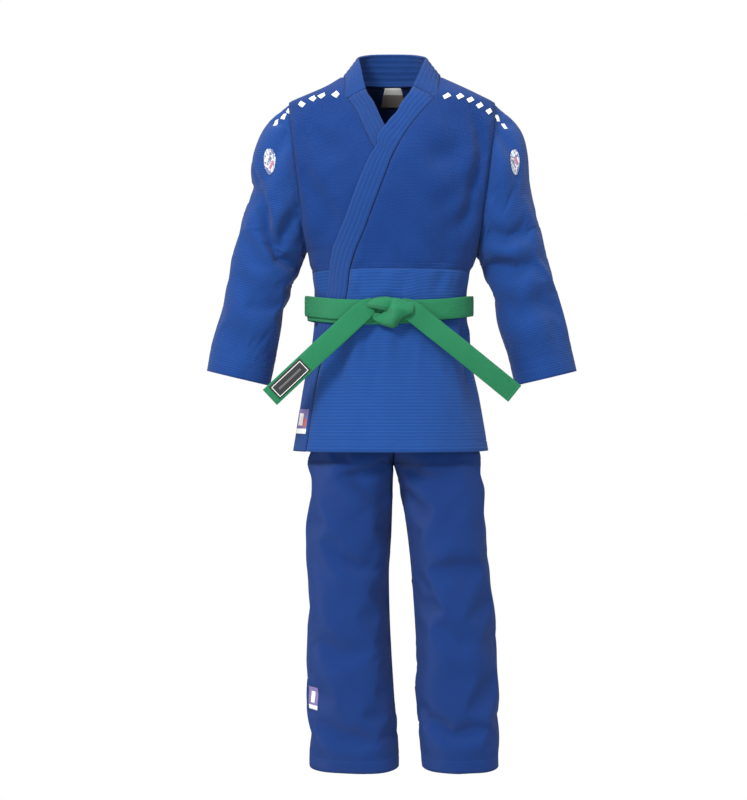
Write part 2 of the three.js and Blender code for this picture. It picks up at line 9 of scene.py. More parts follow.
import bpy
import numpy as np
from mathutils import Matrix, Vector


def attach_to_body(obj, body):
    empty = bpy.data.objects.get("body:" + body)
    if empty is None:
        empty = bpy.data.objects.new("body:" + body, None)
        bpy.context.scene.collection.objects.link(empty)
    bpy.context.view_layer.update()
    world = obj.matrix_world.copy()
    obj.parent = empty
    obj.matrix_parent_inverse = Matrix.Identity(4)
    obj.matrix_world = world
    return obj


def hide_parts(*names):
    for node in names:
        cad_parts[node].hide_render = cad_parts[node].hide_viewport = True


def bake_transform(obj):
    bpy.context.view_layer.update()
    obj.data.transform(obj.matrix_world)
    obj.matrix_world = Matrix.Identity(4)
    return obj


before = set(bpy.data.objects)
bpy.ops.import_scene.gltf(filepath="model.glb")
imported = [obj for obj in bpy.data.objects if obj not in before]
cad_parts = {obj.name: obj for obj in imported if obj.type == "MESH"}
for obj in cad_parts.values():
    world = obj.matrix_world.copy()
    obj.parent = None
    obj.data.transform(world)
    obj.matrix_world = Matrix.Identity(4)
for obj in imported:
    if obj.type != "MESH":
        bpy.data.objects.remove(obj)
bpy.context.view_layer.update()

HANG = 1372.0
ARMPIT, SHOULDER = 1024.0, 1318.0
WAIST_SEAM, BELT_Z, SKIRT_HEM = 981.0, 914.0, 628.0
LAPEL_TOP = 1310.0
SEAM = 0.4
LAYER = 0.6
SHAPE = 2 / 2.3
RAD = math.pi / 180
JACKET_T, TROUSER_T, LINING_T = 2.2, 1.8, 1.2

# ------------------------------------------------------------------ Small maths


def profile(knots):
    """A smooth curve through (position, value) knots that never overshoots them."""
    xs, ys = np.array(knots, float).T
    step = np.diff(xs)
    slope = np.diff(ys) / step
    tangent = np.concatenate([slope[:1], np.zeros(len(xs) - 2), slope[-1:]])
    for i in range(1, len(xs) - 1):
        a, b = slope[i - 1], slope[i]
        tangent[i] = 0 if a * b <= 0 else 2 * a * b / (a + b)

    def at(x):
        x = np.clip(x, xs[0], xs[-1])
        i = np.clip(np.searchsorted(xs, x, side="left") - 1, 0, len(step) - 1)
        h = step[i]
        t = (x - xs[i]) / h
        ease = t * t * (3 - 2 * t)
        lead = h * t * (1 - t) * ((1 - t) * tangent[i] - t * tangent[i + 1])
        return ys[i] + (ys[i + 1] - ys[i]) * ease + lead

    return at


def lerp(a, b, t):
    return a + (b - a) * t


def smooth(x, low, high):
    t = np.clip((x - low) / (high - low), 0, 1)
    return t * t * (3 - 2 * t)


def power(x, p):
    return np.sign(x) * np.abs(x) ** p


def rungs(stops, step, lines=(), half=2.0):
    """Values from the first stop to the last, about step apart, with three close ones at each line."""
    out = [float(stops[0])]
    for a, b in zip(stops, stops[1:]):
        n = max(1, round(abs(b - a) / step))
        out += [lerp(a, b, k / n) for k in range(1, n + 1)]
    for line in lines:
        out = [v for v in out if abs(v - line) > half * 1.4 or v in (stops[0], stops[-1])]
        out += [line - half, line, line + half]
    return np.array(sorted(set(out)))


def unit(v):
    return v / np.maximum(np.linalg.norm(v, axis=-1, keepdims=True), 1e-9)


def ripple(x, z, wavelength, seed, lean=0.0, spread=3.1, count=7):
    """Seeded smooth noise of about unit height. With spread 0 its folds all lean by the same angle, lean."""
    rng = np.random.default_rng(seed)
    total = 0
    for _ in range(count):
        way = lean + (rng.random() - 0.5) * spread
        k = 2 * math.pi / (wavelength * (0.7 + 0.8 * rng.random()))
        total = total + np.cos(k * (np.cos(way) * x + np.sin(way) * z) + rng.random() * 6.28)
    return total / math.sqrt(count)


def creases(x, z, folds, strength=2.2, breadth=1.3):
    """Height of folds, each given by its (x, z) points, depth, half width and the ridge beside it."""
    total = np.zeros_like(x)
    for points, depth, narrow, ridge in folds:
        width = narrow * breadth
        points = np.array(points, float)
        lengths = np.linalg.norm(np.diff(points, axis=0), axis=1)
        whole = lengths.sum()
        best = np.full(x.shape, 1e9)
        side = np.zeros_like(x)
        share = np.zeros_like(x)
        start = 0.0
        for a, b, length in zip(points, points[1:], lengths):
            d = (b - a) / length
            t = np.clip((x - a[0]) * d[0] + (z - a[1]) * d[1], 0, length)
            dx, dz = x - a[0] - t * d[0], z - a[1] - t * d[1]
            dist = np.hypot(dx, dz)
            near = dist < best
            best = np.where(near, dist, best)
            side = np.where(near, np.sign(dx * d[1] - dz * d[0]), side)
            share = np.where(near, (start + t) / whole, share)
            start += length
        fade = np.clip(np.sin(math.pi * np.clip(share, 0.02, 0.98)), 0, 1) ** 0.6
        total -= depth * fade * np.exp(-((best / width) ** 2))
        total += ridge * fade * np.exp(-(((best * side - 2 * width) / (1.5 * width)) ** 2))
    return total * strength


# ------------------------------------------------------------------ Garment surfaces (as in the CAD part)

lower_half_width = profile([(628, 190), (728, 173), (874, 149), (944, 149), (981, 156), (1024, 168)])
half_depth = profile([
    (628, 126), (728, 118), (874, 106), (944, 106), (981, 108), (1150, 124), (1318, 98), (1372, 60)])
sway = profile([(628, -5), (874, -6), (944, -6), (1024, 0), (1372, 0)])
seam_left = profile([
    (628, -53), (778, -52), (865, -40), (927, -29), (981, -25.5), (1065, -13.4), (1159, -3), (1209, 1),
    (1245, 5.5), (1289, 14), (1332, 26), (1352, 39), (1365, 56), (1372, 88)])
seam_right = profile([
    (628, 53), (778, 52), (865, 40), (927, 29), (981, 25), (1065, 13), (1159, 0), (1220, -9.7),
    (1255, -13.8), (1289, -18), (1332, -28), (1352, -40), (1365, -57), (1372, -88)])
ARMHOLE_DEPTH = 88.0
BAND_W, BAND_T = 45.0, 5.0
neck_narrow = {
    "left": profile([(1195, 0), (1220, 5), (1245, 11), (1260, 11), (1275, 6.5), (1289, 4), (1310, 4.5)]),
    "right": profile([(1215, 0), (1240, 8), (1260, 8.5), (1275, 8), (1289, 7), (1310, 10)]),
}


def half_width(z):
    up = (z - ARMPIT) / (SHOULDER - ARMPIT)
    over = (z - SHOULDER) / (HANG - SHOULDER)
    high = np.where(up <= 1, lerp(168, 206, up), lerp(206, 95, over)) - 1.6 * np.exp(-(((z - SHOULDER) / 7) ** 2))
    return np.where(z <= ARMPIT, lower_half_width(z), high)


def armhole_open(z):
    middle, reach = (ARMPIT + SHOULDER) / 2, (SHOULDER - ARMPIT) / 2
    return np.sqrt(np.maximum(0, 1 - ((z - middle) / reach) ** 2))


def body_point(face, angle, z, lift=0.0):
    opening = armhole_open(z)
    s, c = np.sin(angle), np.maximum(0, np.cos(angle))
    edge = opening * ARMHOLE_DEPTH * np.abs(s) ** 3
    wide = half_width(z) + 1.3 * lift * (1 - opening * np.abs(s))
    rise = (half_depth(z) + lift - edge) * c**SHAPE
    depth = edge + lift * opening * (1 - c**SHAPE) + rise + SEAM / 2
    return np.stack([sway(z) - face * wide * power(s, SHAPE), face * depth, z + 0 * angle], -1)


def wrap_lift(angle, z):
    fade = lerp(12, 30, smooth(z, BELT_Z, ARMPIT)) * RAD
    return 6 * smooth(90 * RAD - angle, 0, fade) * (1 - smooth(z, LAPEL_TOP - 20, HANG))


def no_lift(angle, z):
    return 0 * angle


FRONTS = {"left": (seam_left, -1, wrap_lift), "right": (seam_right, 1, no_lift)}


def front_point(side, share, z, grow=0.0):
    seam, _, lift = FRONTS[side]
    gap = LAYER / half_width(z) * (1 if side == "left" else -1)
    start = seam(z) * RAD + gap if side == "left" else -90 * RAD
    end = 90 * RAD if side == "left" else seam(z) * RAD + gap
    angle = lerp(start, end, share)
    return body_point(-1, angle, z, lift(angle, z) + grow)


def band_point(side, share, z, grow=0.0):
    seam, sign, lift = FRONTS[side]
    angle = seam(z) * RAD
    slope = (seam(z + 1) - seam(z - 1)) * RAD / 2
    ends = body_point(-1, angle + 0.01, z) - body_point(-1, angle - 0.01, z)
    radius = np.linalg.norm(ends, axis=-1) / 0.02
    rake = radius * slope
    length = np.hypot(1, rake)
    reach = share * (BAND_W - neck_narrow[side](z))
    shifted = angle + sign * reach / length / radius
    height = z - sign * reach * rake / length
    return body_point(-1, shifted, height, lift(shifted, height) + grow)


def catmull(points):
    """three.js's centripetal curve through the points."""
    p = np.array(points, float)
    p = np.vstack([2 * p[0] - p[1], p, 2 * p[-1] - p[-2]])

    def at(t):
        t = np.asarray(t, float)
        place = np.clip(t, 0, 1) * (len(p) - 3)
        i = np.minimum(place.astype(int), len(p) - 4)
        w = (place - i)[..., None]
        p0, p1, p2, p3 = p[i], p[i + 1], p[i + 2], p[i + 3]
        d0, d1, d2 = (np.linalg.norm(b - a, axis=-1, keepdims=True) ** 0.5
                      for a, b in ((p0, p1), (p1, p2), (p2, p3)))
        t1 = ((p1 - p0) / d0 - (p2 - p0) / (d0 + d1) + (p2 - p1) / d1) * d1
        t2 = ((p2 - p1) / d1 - (p3 - p1) / (d1 + d2) + (p3 - p2) / d2) * d1
        c2 = -3 * p1 + 3 * p2 - 2 * t1 - t2
        c3 = 2 * p1 - 2 * p2 + t1 + t2
        return p1 + t1 * w + c2 * w**2 + c3 * w**3

    return at


SLEEVE_ANGLE = 13.4 * RAD
sleeve_down = np.array([math.sin(SLEEVE_ANGLE), 0, -math.cos(SLEEVE_ANGLE)])
sleeve_top = np.array([206.4, 0, SHOULDER])
armpit = np.array([168.4, 0, ARMPIT])
sleeve_cap = sleeve_top + [50, 0, -60]
cuff_outer = sleeve_cap + sleeve_down * 485
cuff_inner = cuff_outer + np.array([-math.cos(SLEEVE_ANGLE), 0, -math.sin(SLEEVE_ANGLE)]) * 127
underarm = cuff_inner - sleeve_down * 0.49 * 485
outer_line = catmull([
    sleeve_top, sleeve_cap, lerp(sleeve_cap, cuff_outer, 0.25), lerp(sleeve_cap, cuff_outer, 0.475), cuff_outer])
inner_line = catmull([
    armpit, lerp(armpit, underarm, 1 / 3), lerp(armpit, underarm, 2 / 3), underarm, cuff_inner])
sleeve_half_depth = profile([(0, ARMHOLE_DEPTH), (0.5, 78), (0.75, 70), (1, 57)])


def sleeve_point(sign, angle, run, lift=0.0):
    outer, inner = outer_line(run), inner_line(run)
    half = np.linalg.norm(outer - inner, axis=-1) / 2 + lift
    outward = unit(outer - inner)
    p = (outer + inner) / 2 + outward * (sign * np.sin(angle) * half)[..., None]
    return np.stack([sign * p[..., 0], -np.cos(angle) * (sleeve_half_depth(run) + lift), p[..., 2]], -1)


def round_point(angle, z, lift):
    turn = np.arctan2(np.sin(angle), np.cos(angle))
    front = body_point(-1, np.clip(turn, -90 * RAD, 90 * RAD), z, lift)
    back = body_point(1, np.clip(turn - np.sign(turn) * math.pi, -90 * RAD, 90 * RAD), z, lift)
    return np.where((np.abs(turn) <= 90 * RAD + 1e-9)[..., None], front, back)


def belt_lift(angle):
    turn = np.abs(np.arctan2(np.sin(angle), np.cos(angle)))
    return LAYER + 8 * (1 - smooth(turn, 78 * RAD, 100 * RAD))


def belt_point(angle, z, lift):
    p = round_point(angle, BELT_Z + 0 * angle, belt_lift(angle) + lift)
    p[..., 2] = z - 15 * np.maximum(0, np.cos(angle)) ** 2
    return p


TROUSER_MIDDLE = 3.0
seat_half_width = profile([(600, 168), (728, 144), (962, 132), (1002, 132)])
seat_half_depth = profile([(600, 102), (728, 102), (962, 90), (1002, 90)])
leg_depth = profile([(0, 76), (380, 80), (500, 86)])
LEGS = {
    "left": (1, profile([(0, 61), (380, 39), (550, 17), (600, 3.2)]),
             profile([(0, 210), (380, 201), (550, 188), (600, 177)])),
    "right": (-1, profile([(0, 13), (380, -6), (464, -1), (600, 2.8)]),
              profile([(0, -163), (380, -168), (600, -167)])),
}


def leg_point(side, wind, z, lift=0.0):
    _, inner, outer = LEGS[side]
    centre, reach = (inner(z) + outer(z)) / 2, (outer(z) - inner(z)) / 2
    c, s = np.cos(math.pi * wind), np.sin(math.pi * wind)
    wide = (reach + np.sign(reach) * lift) * power(c, SHAPE)
    return np.stack([centre + wide, (leg_depth(z) + lift) * power(s, SHAPE), z + 0 * wind], -1)


def trouser_point(side, wind, z, lift=0.0):
    """One side of the trousers from hem to waist, open along the middle seam above the crotch."""
    sign = LEGS[side][0]
    fall = np.clip((800 - z) / 200, 0, 1)
    narrow = (1 - np.sqrt(1 - fall * fall))[..., None]
    c, s = np.maximum(0, np.cos(math.pi * wind / 2)), np.sin(math.pi * wind / 2)
    wide = sign * ((seat_half_width(z) + lift) * c**SHAPE + SEAM / 2)
    deep = (seat_half_depth(z) + lift) * power(s, SHAPE)
    seat = np.stack([TROUSER_MIDDLE + wide, deep, z + 0 * wind], -1)
    p = lerp(seat, leg_point(side, wind, z, lift), narrow)
    p[..., 1] += np.sign(wind) * SEAM / 2
    return p


# ------------------------------------------------------------------ Meshes


def normals(p, closed):
    if closed:
        q = np.concatenate([p[:, -2:], p, p[:, :2]], 1)
        across = np.gradient(q, axis=1)[:, 2:-2]
    else:
        across = np.gradient(p, axis=1)
    return unit(np.cross(across, np.gradient(p, axis=0)))


def make_mesh(name, co, faces, uvs, material):
    """co in millimetres above the hems; uvs is one (u, v) in metres for each vertex."""
    mesh = bpy.data.meshes.new(name)
    metres = np.asarray(co, float) * 0.001
    metres[:, 2] -= HANG * 0.001
    mesh.from_pydata(metres.tolist(), [], faces)
    layer = mesh.uv_layers.new(name="cloth")
    loops = np.zeros(len(mesh.loops), np.int32)
    mesh.loops.foreach_get("vertex_index", loops)
    layer.data.foreach_set("uv", np.asarray(uvs, np.float32)[loops].ravel())
    mesh.polygons.foreach_set("use_smooth", np.ones(len(mesh.polygons), bool))
    mesh.materials.append(material)
    mesh.update()
    piece = bpy.data.objects.new(name, mesh)
    bpy.context.scene.collection.objects.link(piece)
    return piece


class Cloth:
    """A grid of points in millimetres, rows upwards and columns along the front from -X to +X."""

    def __init__(self, us, vs, p, closed=False):
        self.us, self.vs, self.p, self.closed = np.asarray(us), np.asarray(vs), p, closed
        self.flat = p.copy()

    def push(self, amount):
        self.p = self.p + normals(self.p, self.closed) * np.asarray(amount)[..., None]
        return self

    def uv(self):
        across = np.linalg.norm(np.diff(self.flat, axis=1), axis=-1)
        up = np.linalg.norm(np.diff(self.flat, axis=0), axis=-1)
        u = np.concatenate([np.zeros((len(self.p), 1)), np.cumsum(across, 1)], 1)
        v = np.concatenate([np.zeros((1, self.p.shape[1])), np.cumsum(up, 0)], 0)
        u -= u[:, [u.shape[1] // 2]]
        return np.stack([u, v], -1) * 0.001

    def size(self):
        """Width, length and area of the cloth as cut, in metres."""
        ring = np.concatenate([self.flat, self.flat[:, :1]], 1) if self.closed else self.flat
        across = np.linalg.norm(np.diff(ring, axis=1), axis=-1).sum(1).max()
        up = np.linalg.norm(np.diff(ring, axis=0), axis=-1).sum(0).max()
        a, b = np.diff(ring, axis=1)[:-1], np.diff(ring, axis=0)[:, :-1]
        area = np.linalg.norm(np.cross(a, b), axis=-1).sum()
        return round(across * 0.001, 3), round(up * 0.001, 3), round(area * 1e-6, 4)

    def at(self, u, v, lift=0.0):
        """The point of the cloth at u, v, raised by lift."""
        flip = -1 if self.vs[0] > self.vs[-1] else 1
        i = np.interp(u, self.us, np.arange(len(self.us)))
        j = np.interp(v, self.vs[::flip], np.arange(len(self.vs))[::flip])
        i0 = np.minimum(i.astype(int), len(self.us) - 2)
        j0 = np.minimum(j.astype(int), len(self.vs) - 2)
        s, t = (i - i0)[..., None], (j - j0)[..., None]

        def mix(grid):
            low = lerp(grid[j0, i0], grid[j0, i0 + 1], s)
            return lerp(low, lerp(grid[j0 + 1, i0], grid[j0 + 1, i0 + 1], s), t)

        return mix(self.p) + unit(mix(normals(self.p, self.closed))) * lift

    def layer(self, us, vs, lift, closed=False):
        """Another cloth that follows this one, lift above it."""
        return Cloth(us, vs, self.at(*np.meshgrid(us, vs), lift), closed)

    def shell(self, name, material, thickness):
        """A closed piece of cloth that fills the space from the grid to thickness below it."""
        p, n, uv = self.p, normals(self.p, self.closed), self.uv()
        depth = np.broadcast_to(np.asarray(thickness, float), p.shape[:2])[..., None]
        if self.closed:
            uv = np.concatenate([uv, uv[:, -1:] + uv[:, 1:2] - uv[:, :1]], 1)
            p, n, depth = (np.concatenate([grid, grid[:, :1]], 1) for grid in (p, n, depth))
        rows, cols = p.shape[:2]
        co = np.concatenate([p.reshape(-1, 3), (p - n * depth).reshape(-1, 3)])
        half = rows * cols
        index = np.arange(half).reshape(rows, cols)
        a, b, c, d = index[:-1, :-1], index[:-1, 1:], index[1:, 1:], index[1:, :-1]
        faces = np.stack([a, b, c, d], -1).reshape(-1, 4).tolist()
        faces += (np.stack([a, d, c, b], -1).reshape(-1, 4) + half).tolist()
        rims = [(index[0, 1:], index[0, :-1]), (index[-1, :-1], index[-1, 1:])]
        if not self.closed:
            rims += [(index[1:, -1], index[:-1, -1]), (index[:-1, 0], index[1:, 0])]
        for start, end in rims:
            faces += np.stack([start, end, end + half, start + half], -1).tolist()
        uvs = np.concatenate([uv.reshape(-1, 2)] * 2)
        if self.closed:
            same = np.arange(2 * half).reshape(2, rows, cols)
            same[:, :, -1] = same[:, :, 0]
            piece = make_closed(name, co, faces, uvs, same.ravel(), material)
        else:
            piece = make_mesh(name, co, faces, uvs, material)
        bpy.context.view_layer.update()
        return piece


def make_closed(name, co, faces, uvs, same, material):
    """As make_mesh, with the last column's vertices joined to the first, and the UVs kept apart."""
    order = np.unique(same)
    place = np.zeros(len(same), int)
    place[order] = np.arange(len(order))
    joined = [[int(place[same[i]]) for i in f] for f in faces]
    piece = make_mesh(name, co[order], joined, uvs[order], material)
    layer = piece.data.uv_layers["cloth"]
    layer.data.foreach_set("uv", uvs[np.concatenate([np.array(f) for f in faces])].astype(np.float32).ravel())
    return piece


# ------------------------------------------------------------------ Materials


class Shader:
    """Short calls for building one node material."""

    def __init__(self, name):
        self.material = bpy.data.materials.new(name)
        self.material.use_nodes = True
        self.tree = self.material.node_tree
        self.surface = self.tree.nodes["Principled BSDF"]

    def node(self, kind, **values):
        n = self.tree.nodes.new(kind)
        for key, value in values.items():
            setattr(n, key, value)
        return n

    def link(self, value, socket):
        if isinstance(value, bpy.types.NodeSocket):
            self.tree.links.new(value, socket)
        else:
            socket.default_value = value

    def maths(self, operation, a, b=0.0, c=0.0, clamp=False):
        n = self.node("ShaderNodeMath", operation=operation, use_clamp=clamp)
        for value, socket in zip((a, b, c), n.inputs):
            self.link(value, socket)
        return n.outputs[0]

    def uv(self):
        n = self.node("ShaderNodeUVMap", uv_map="cloth")
        split = self.node("ShaderNodeSeparateXYZ")
        self.link(n.outputs[0], split.inputs[0])
        return n.outputs[0], split.outputs[0], split.outputs[1]

    def vector(self, x, y, z=0.0):
        n = self.node("ShaderNodeCombineXYZ")
        for value, socket in zip((x, y, z), n.inputs):
            self.link(value, socket)
        return n.outputs[0]

    def noise(self, vector, scale, detail=2.0):
        n = self.node("ShaderNodeTexNoise")
        self.link(vector, n.inputs["Vector"])
        n.inputs["Scale"].default_value = scale
        n.inputs["Detail"].default_value = detail
        return n.outputs[0]

    def mix(self, share, a, b):
        n = self.node("ShaderNodeMix", data_type="RGBA")
        self.link(share, n.inputs[0])
        self.link(a, n.inputs[6])
        self.link(b, n.inputs[7])
        return n.outputs[2]

    def finish(self, colour, roughness, height, depth):
        self.link(colour, self.surface.inputs["Base Color"])
        self.link(roughness, self.surface.inputs["Roughness"])
        bump = self.node("ShaderNodeBump")
        bump.inputs["Strength"].default_value = 1.0
        bump.inputs["Distance"].default_value = depth
        self.link(height, bump.inputs["Height"])
        self.link(bump.outputs[0], self.surface.inputs["Normal"])
        return self.material


def shade(colour, factor):
    return tuple(min(1.0, c * factor) for c in colour) + (1.0,)


def weave_grain(s, vector, u, v, size):
    """Staggered oval grains, size (width, height) in metres."""
    wander = s.noise(vector, 160.0, 1.0)
    moved = s.vector(s.maths("MULTIPLY_ADD", wander, 0.0018, u), s.maths("MULTIPLY_ADD", wander, 0.0014, v))
    brick = s.node("ShaderNodeTexBrick", offset=0.5)
    s.link(moved, brick.inputs["Vector"])
    brick.inputs["Color1"].default_value = (0.85, 0.85, 0.85, 1)
    brick.inputs["Color2"].default_value = (1, 1, 1, 1)
    brick.inputs["Mortar"].default_value = (0, 0, 0, 1)
    brick.inputs["Scale"].default_value = 1.0
    brick.inputs["Mortar Size"].default_value = size[1] * 0.42
    brick.inputs["Mortar Smooth"].default_value = 1.0
    brick.inputs["Brick Width"].default_value = size[0]
    brick.inputs["Row Height"].default_value = size[1]
    bw = s.node("ShaderNodeRGBToBW")
    s.link(brick.outputs[0], bw.inputs[0])
    return bw.outputs[0]


def weave_rib(s, vector, u, v, size):
    """Ribs size[1] apart with small diamonds along them, size[0] long."""
    wander = s.noise(vector, 60.0, 1.0)
    row = s.maths("MULTIPLY_ADD", wander, 0.0012, v)
    rib = s.maths("SINE", s.maths("MULTIPLY", row, 2 * math.pi / size[1]))
    left = s.maths("SINE", s.maths("MULTIPLY", s.maths("ADD", u, row), 2 * math.pi / size[0]))
    right = s.maths("SINE", s.maths("MULTIPLY", s.maths("SUBTRACT", u, row), 2 * math.pi / size[0]))
    diamond = s.maths("MULTIPLY", left, right)
    both = s.maths("MULTIPLY_ADD", diamond, 0.28, s.maths("MULTIPLY", rib, 0.34))
    return s.maths("ADD", both, 0.5, clamp=True)


def weave_twill(s, vector, u, v, size):
    """Fine slanting ribs, size[0] apart."""
    wander = s.noise(vector, 90.0, 1.0)
    slant = s.maths("MULTIPLY_ADD", wander, 0.0008, s.maths("MULTIPLY_ADD", u, 1.6, v))
    rib = s.maths("SINE", s.maths("MULTIPLY", slant, 2 * math.pi / size[0]))
    return s.maths("MULTIPLY_ADD", rib, 0.5, 0.5)


def stitch_rows(s, u, v, rows, pitch=0.0042):
    """One for every thread of the stitch rows, given as ("u" or "v", place in metres), and zero elsewhere."""
    total = None
    for axis, place in rows:
        across, along = (u, v) if axis == "u" else (v, u)
        near = s.maths("LESS_THAN", s.maths("ABSOLUTE", s.maths("SUBTRACT", across, place)), 0.00055)
        dash = s.maths("LESS_THAN", s.maths("FRACT", s.maths("DIVIDE", along, pitch)), 0.72)
        thread = s.maths("MULTIPLY", near, dash)
        total = thread if total is None else s.maths("MAXIMUM", total, thread)
    return total


def cloth_material(name, colour, weave, size, depth=0.0007, contrast=0.4, rows=(), thread=None, sheen=0.06):
    """Matt cotton with a woven surface, a slow drift of colour, and stitch rows where they are given."""
    s = Shader(name)
    vector, u, v = s.uv()
    height = weave(s, vector, u, v, size)
    fuzz = s.noise(vector, 1400.0, 2.0)
    drift = s.noise(vector, 9.0, 3.0)
    worn = s.noise(vector, 38.0, 2.0)
    base = s.mix(height, shade(colour, 1 - contrast), shade(colour, 1 + contrast * 0.75))
    base = s.mix(s.maths("MULTIPLY", drift, 0.5), base, s.mix(drift, shade(colour, 0.72), shade(colour, 1.3)))
    base = s.mix(s.maths("MULTIPLY", worn, 0.22), base, shade(colour, 1.22))
    relief = s.maths("MULTIPLY_ADD", fuzz, 0.22, height)
    if rows:
        stitches = stitch_rows(s, u, v, rows)
        base = s.mix(stitches, base, thread or shade(colour, 1.5))
        relief = s.maths("MULTIPLY_ADD", stitches, 0.9, relief)
    s.surface.inputs["Specular IOR Level"].default_value = 0.08
    s.surface.inputs["Sheen Weight"].default_value = sheen
    s.surface.inputs["Sheen Roughness"].default_value = 0.6
    return s.finish(base, s.maths("MULTIPLY_ADD", fuzz, 0.16, 0.8), relief, depth)


BLUE = (0.0048, 0.0350, 0.172)
SKIRT_BLUE = (0.0098, 0.050, 0.205)
SLEEVE_BLUE = (0.0076, 0.041, 0.180)
LAPEL_BLUE = (0.0088, 0.046, 0.198)
TROUSER_BLUE = (0.0042, 0.036, 0.189)
LINING_BLUE = (0.006, 0.022, 0.110)
GREEN = (0.018, 0.218, 0.092)

GRAIN, RIB, TWILL = (0.0046, 0.0029), (0.0072, 0.0064), (0.0013, 0.0013)
upper_cloth = cloth_material("jacket_rice_grain", BLUE, weave_grain, GRAIN, rows=[("v", 0.004), ("v", 0.010)])
back_cloth = cloth_material("jacket_back_grain", BLUE, weave_grain, GRAIN)
skirt_cloth = cloth_material(
    "jacket_diamond_rib", SKIRT_BLUE, weave_rib, RIB, depth=0.0006, contrast=0.26,
    rows=[("v", 0.020), ("v", 0.023)])
sleeve_cloth = cloth_material(
    "jacket_sleeve_rib", SLEEVE_BLUE, weave_rib, (0.0056, 0.0046), depth=0.0005, contrast=0.26,
    rows=[("v", 0.020), ("v", 0.023)])
band_cloth = cloth_material(
    "lapel_stitched", LAPEL_BLUE, weave_twill, (0.0024, 0.0024), depth=0.0005, contrast=0.25)
trouser_cloth = cloth_material(
    "trouser_twill", TROUSER_BLUE, weave_twill, TWILL, depth=0.0004, contrast=0.3,
    rows=[("v", 0.022), ("v", 0.0245)])
waist_cloth = cloth_material(
    "trouser_waistband", TROUSER_BLUE, weave_twill, TWILL, depth=0.0004, contrast=0.3)
lining_cloth = cloth_material(
    "lining_plain", LINING_BLUE, weave_twill, (0.001, 0.001), depth=0.0003, contrast=0.2)
belt_cloth = cloth_material(
    "belt_ribbed", GREEN, weave_twill, (0.0011, 0.0011), depth=0.0004, contrast=0.35)

# ------------------------------------------------------------------ Folds

FRONT_FOLDS = [
    ([(152, 1288), (168, 1250), (172, 1206), (166, 1168), (150, 1105), (138, 1066)], 5.5, 9, 2.0),
    ([(-176, 1236), (-166, 1170), (-146, 1110)], 3.0, 12, 1.5),
    ([(-186, 1180), (-150, 1120), (-122, 1060)], 3.5, 16, 1.5),
    ([(-124, 1120), (-114, 1048)], 3, 14, 1.5),
    ([(156, 1160), (120, 1120), (76, 1090)], 3.5, 16, 2),
    ([(176, 1110), (130, 1070), (100, 1050)], 3, 14, 1.5),
    ([(150, 1230), (110, 1200), (60, 1190)], 2.5, 18, 1.5),
    ([(-160, 1250), (-120, 1215), (-90, 1190)], 2.5, 18, 1.5),
]
BACK_FOLDS = [
    ([(-186, 1240), (-150, 1150), (-120, 1070)], 5, 15, 2.5),
    ([(186, 1240), (150, 1150), (126, 1070)], 5, 15, 2.5),
    ([(-150, 1300), (-60, 1262), (0, 1256)], 3, 20, 2),
    ([(150, 1300), (60, 1266), (10, 1256)], 3, 20, 2),
    ([(-110, 1120), (-60, 1040), (-40, 1000)], 3.5, 16, 2),
    ([(120, 1110), (70, 1040), (44, 1000)], 3.5, 16, 2),
]


def puckers(p, seed):
    """Upright gathers above and below the belt, pressed flat beneath it."""
    x, y, z = p[..., 0], p[..., 1], p[..., 2]
    middle = BELT_Z - 15 * np.exp(-((x / 110) ** 2)) * (y < 0)
    away = np.abs(z - middle)
    held = smooth(away, 22, 52)
    reach = np.where(z > middle, 70, 120)
    around = np.arctan2(x, -y) * 140
    fold = ripple(around, 0.12 * z, 58, seed, spread=0.3) + 0.6 * ripple(around, z, 30, seed + 1, spread=0.7)
    return held * (4.2 * fold + 2.0) * np.exp(-away / reach)


def armhole_pull(p, depth=11.0, reach=9.0, broad=24.0):
    """Draws both sides of the armhole seam in towards the arm's middle plane, in a valley."""
    x, y, z = p[..., 0], p[..., 1], p[..., 2]
    seam = lerp(168, 206, np.clip((z - ARMPIT) / (SHOULDER - ARMPIT), 0, 1))
    away = np.abs(np.abs(x) - seam)
    pull = np.where(x > 0, 0.6, 1.0) * depth * (np.exp(-away / reach) + np.exp(-((away / broad) ** 2)))
    pull = pull * armhole_open(z) ** 1.5
    q = p.copy()
    q[..., 1] = y - np.sign(y) * np.minimum(pull, np.abs(y))
    return q


def edge_fade(cloth, top=14.0, bottom=14.0, left=14.0, right=14.0):
    """1 in the middle of the cloth and 0 at the edges that are sewn to something."""
    uv = cloth.uv() * 1000
    u, v = uv[..., 0], uv[..., 1]
    fade = np.ones_like(u)
    for inward, width in ((v, bottom), (v[-1:] - v, top), (u - u[:, :1], left), (u[:, -1:] - u, right)):
        if width:
            fade = fade * smooth(inward, 0, width)
    return fade


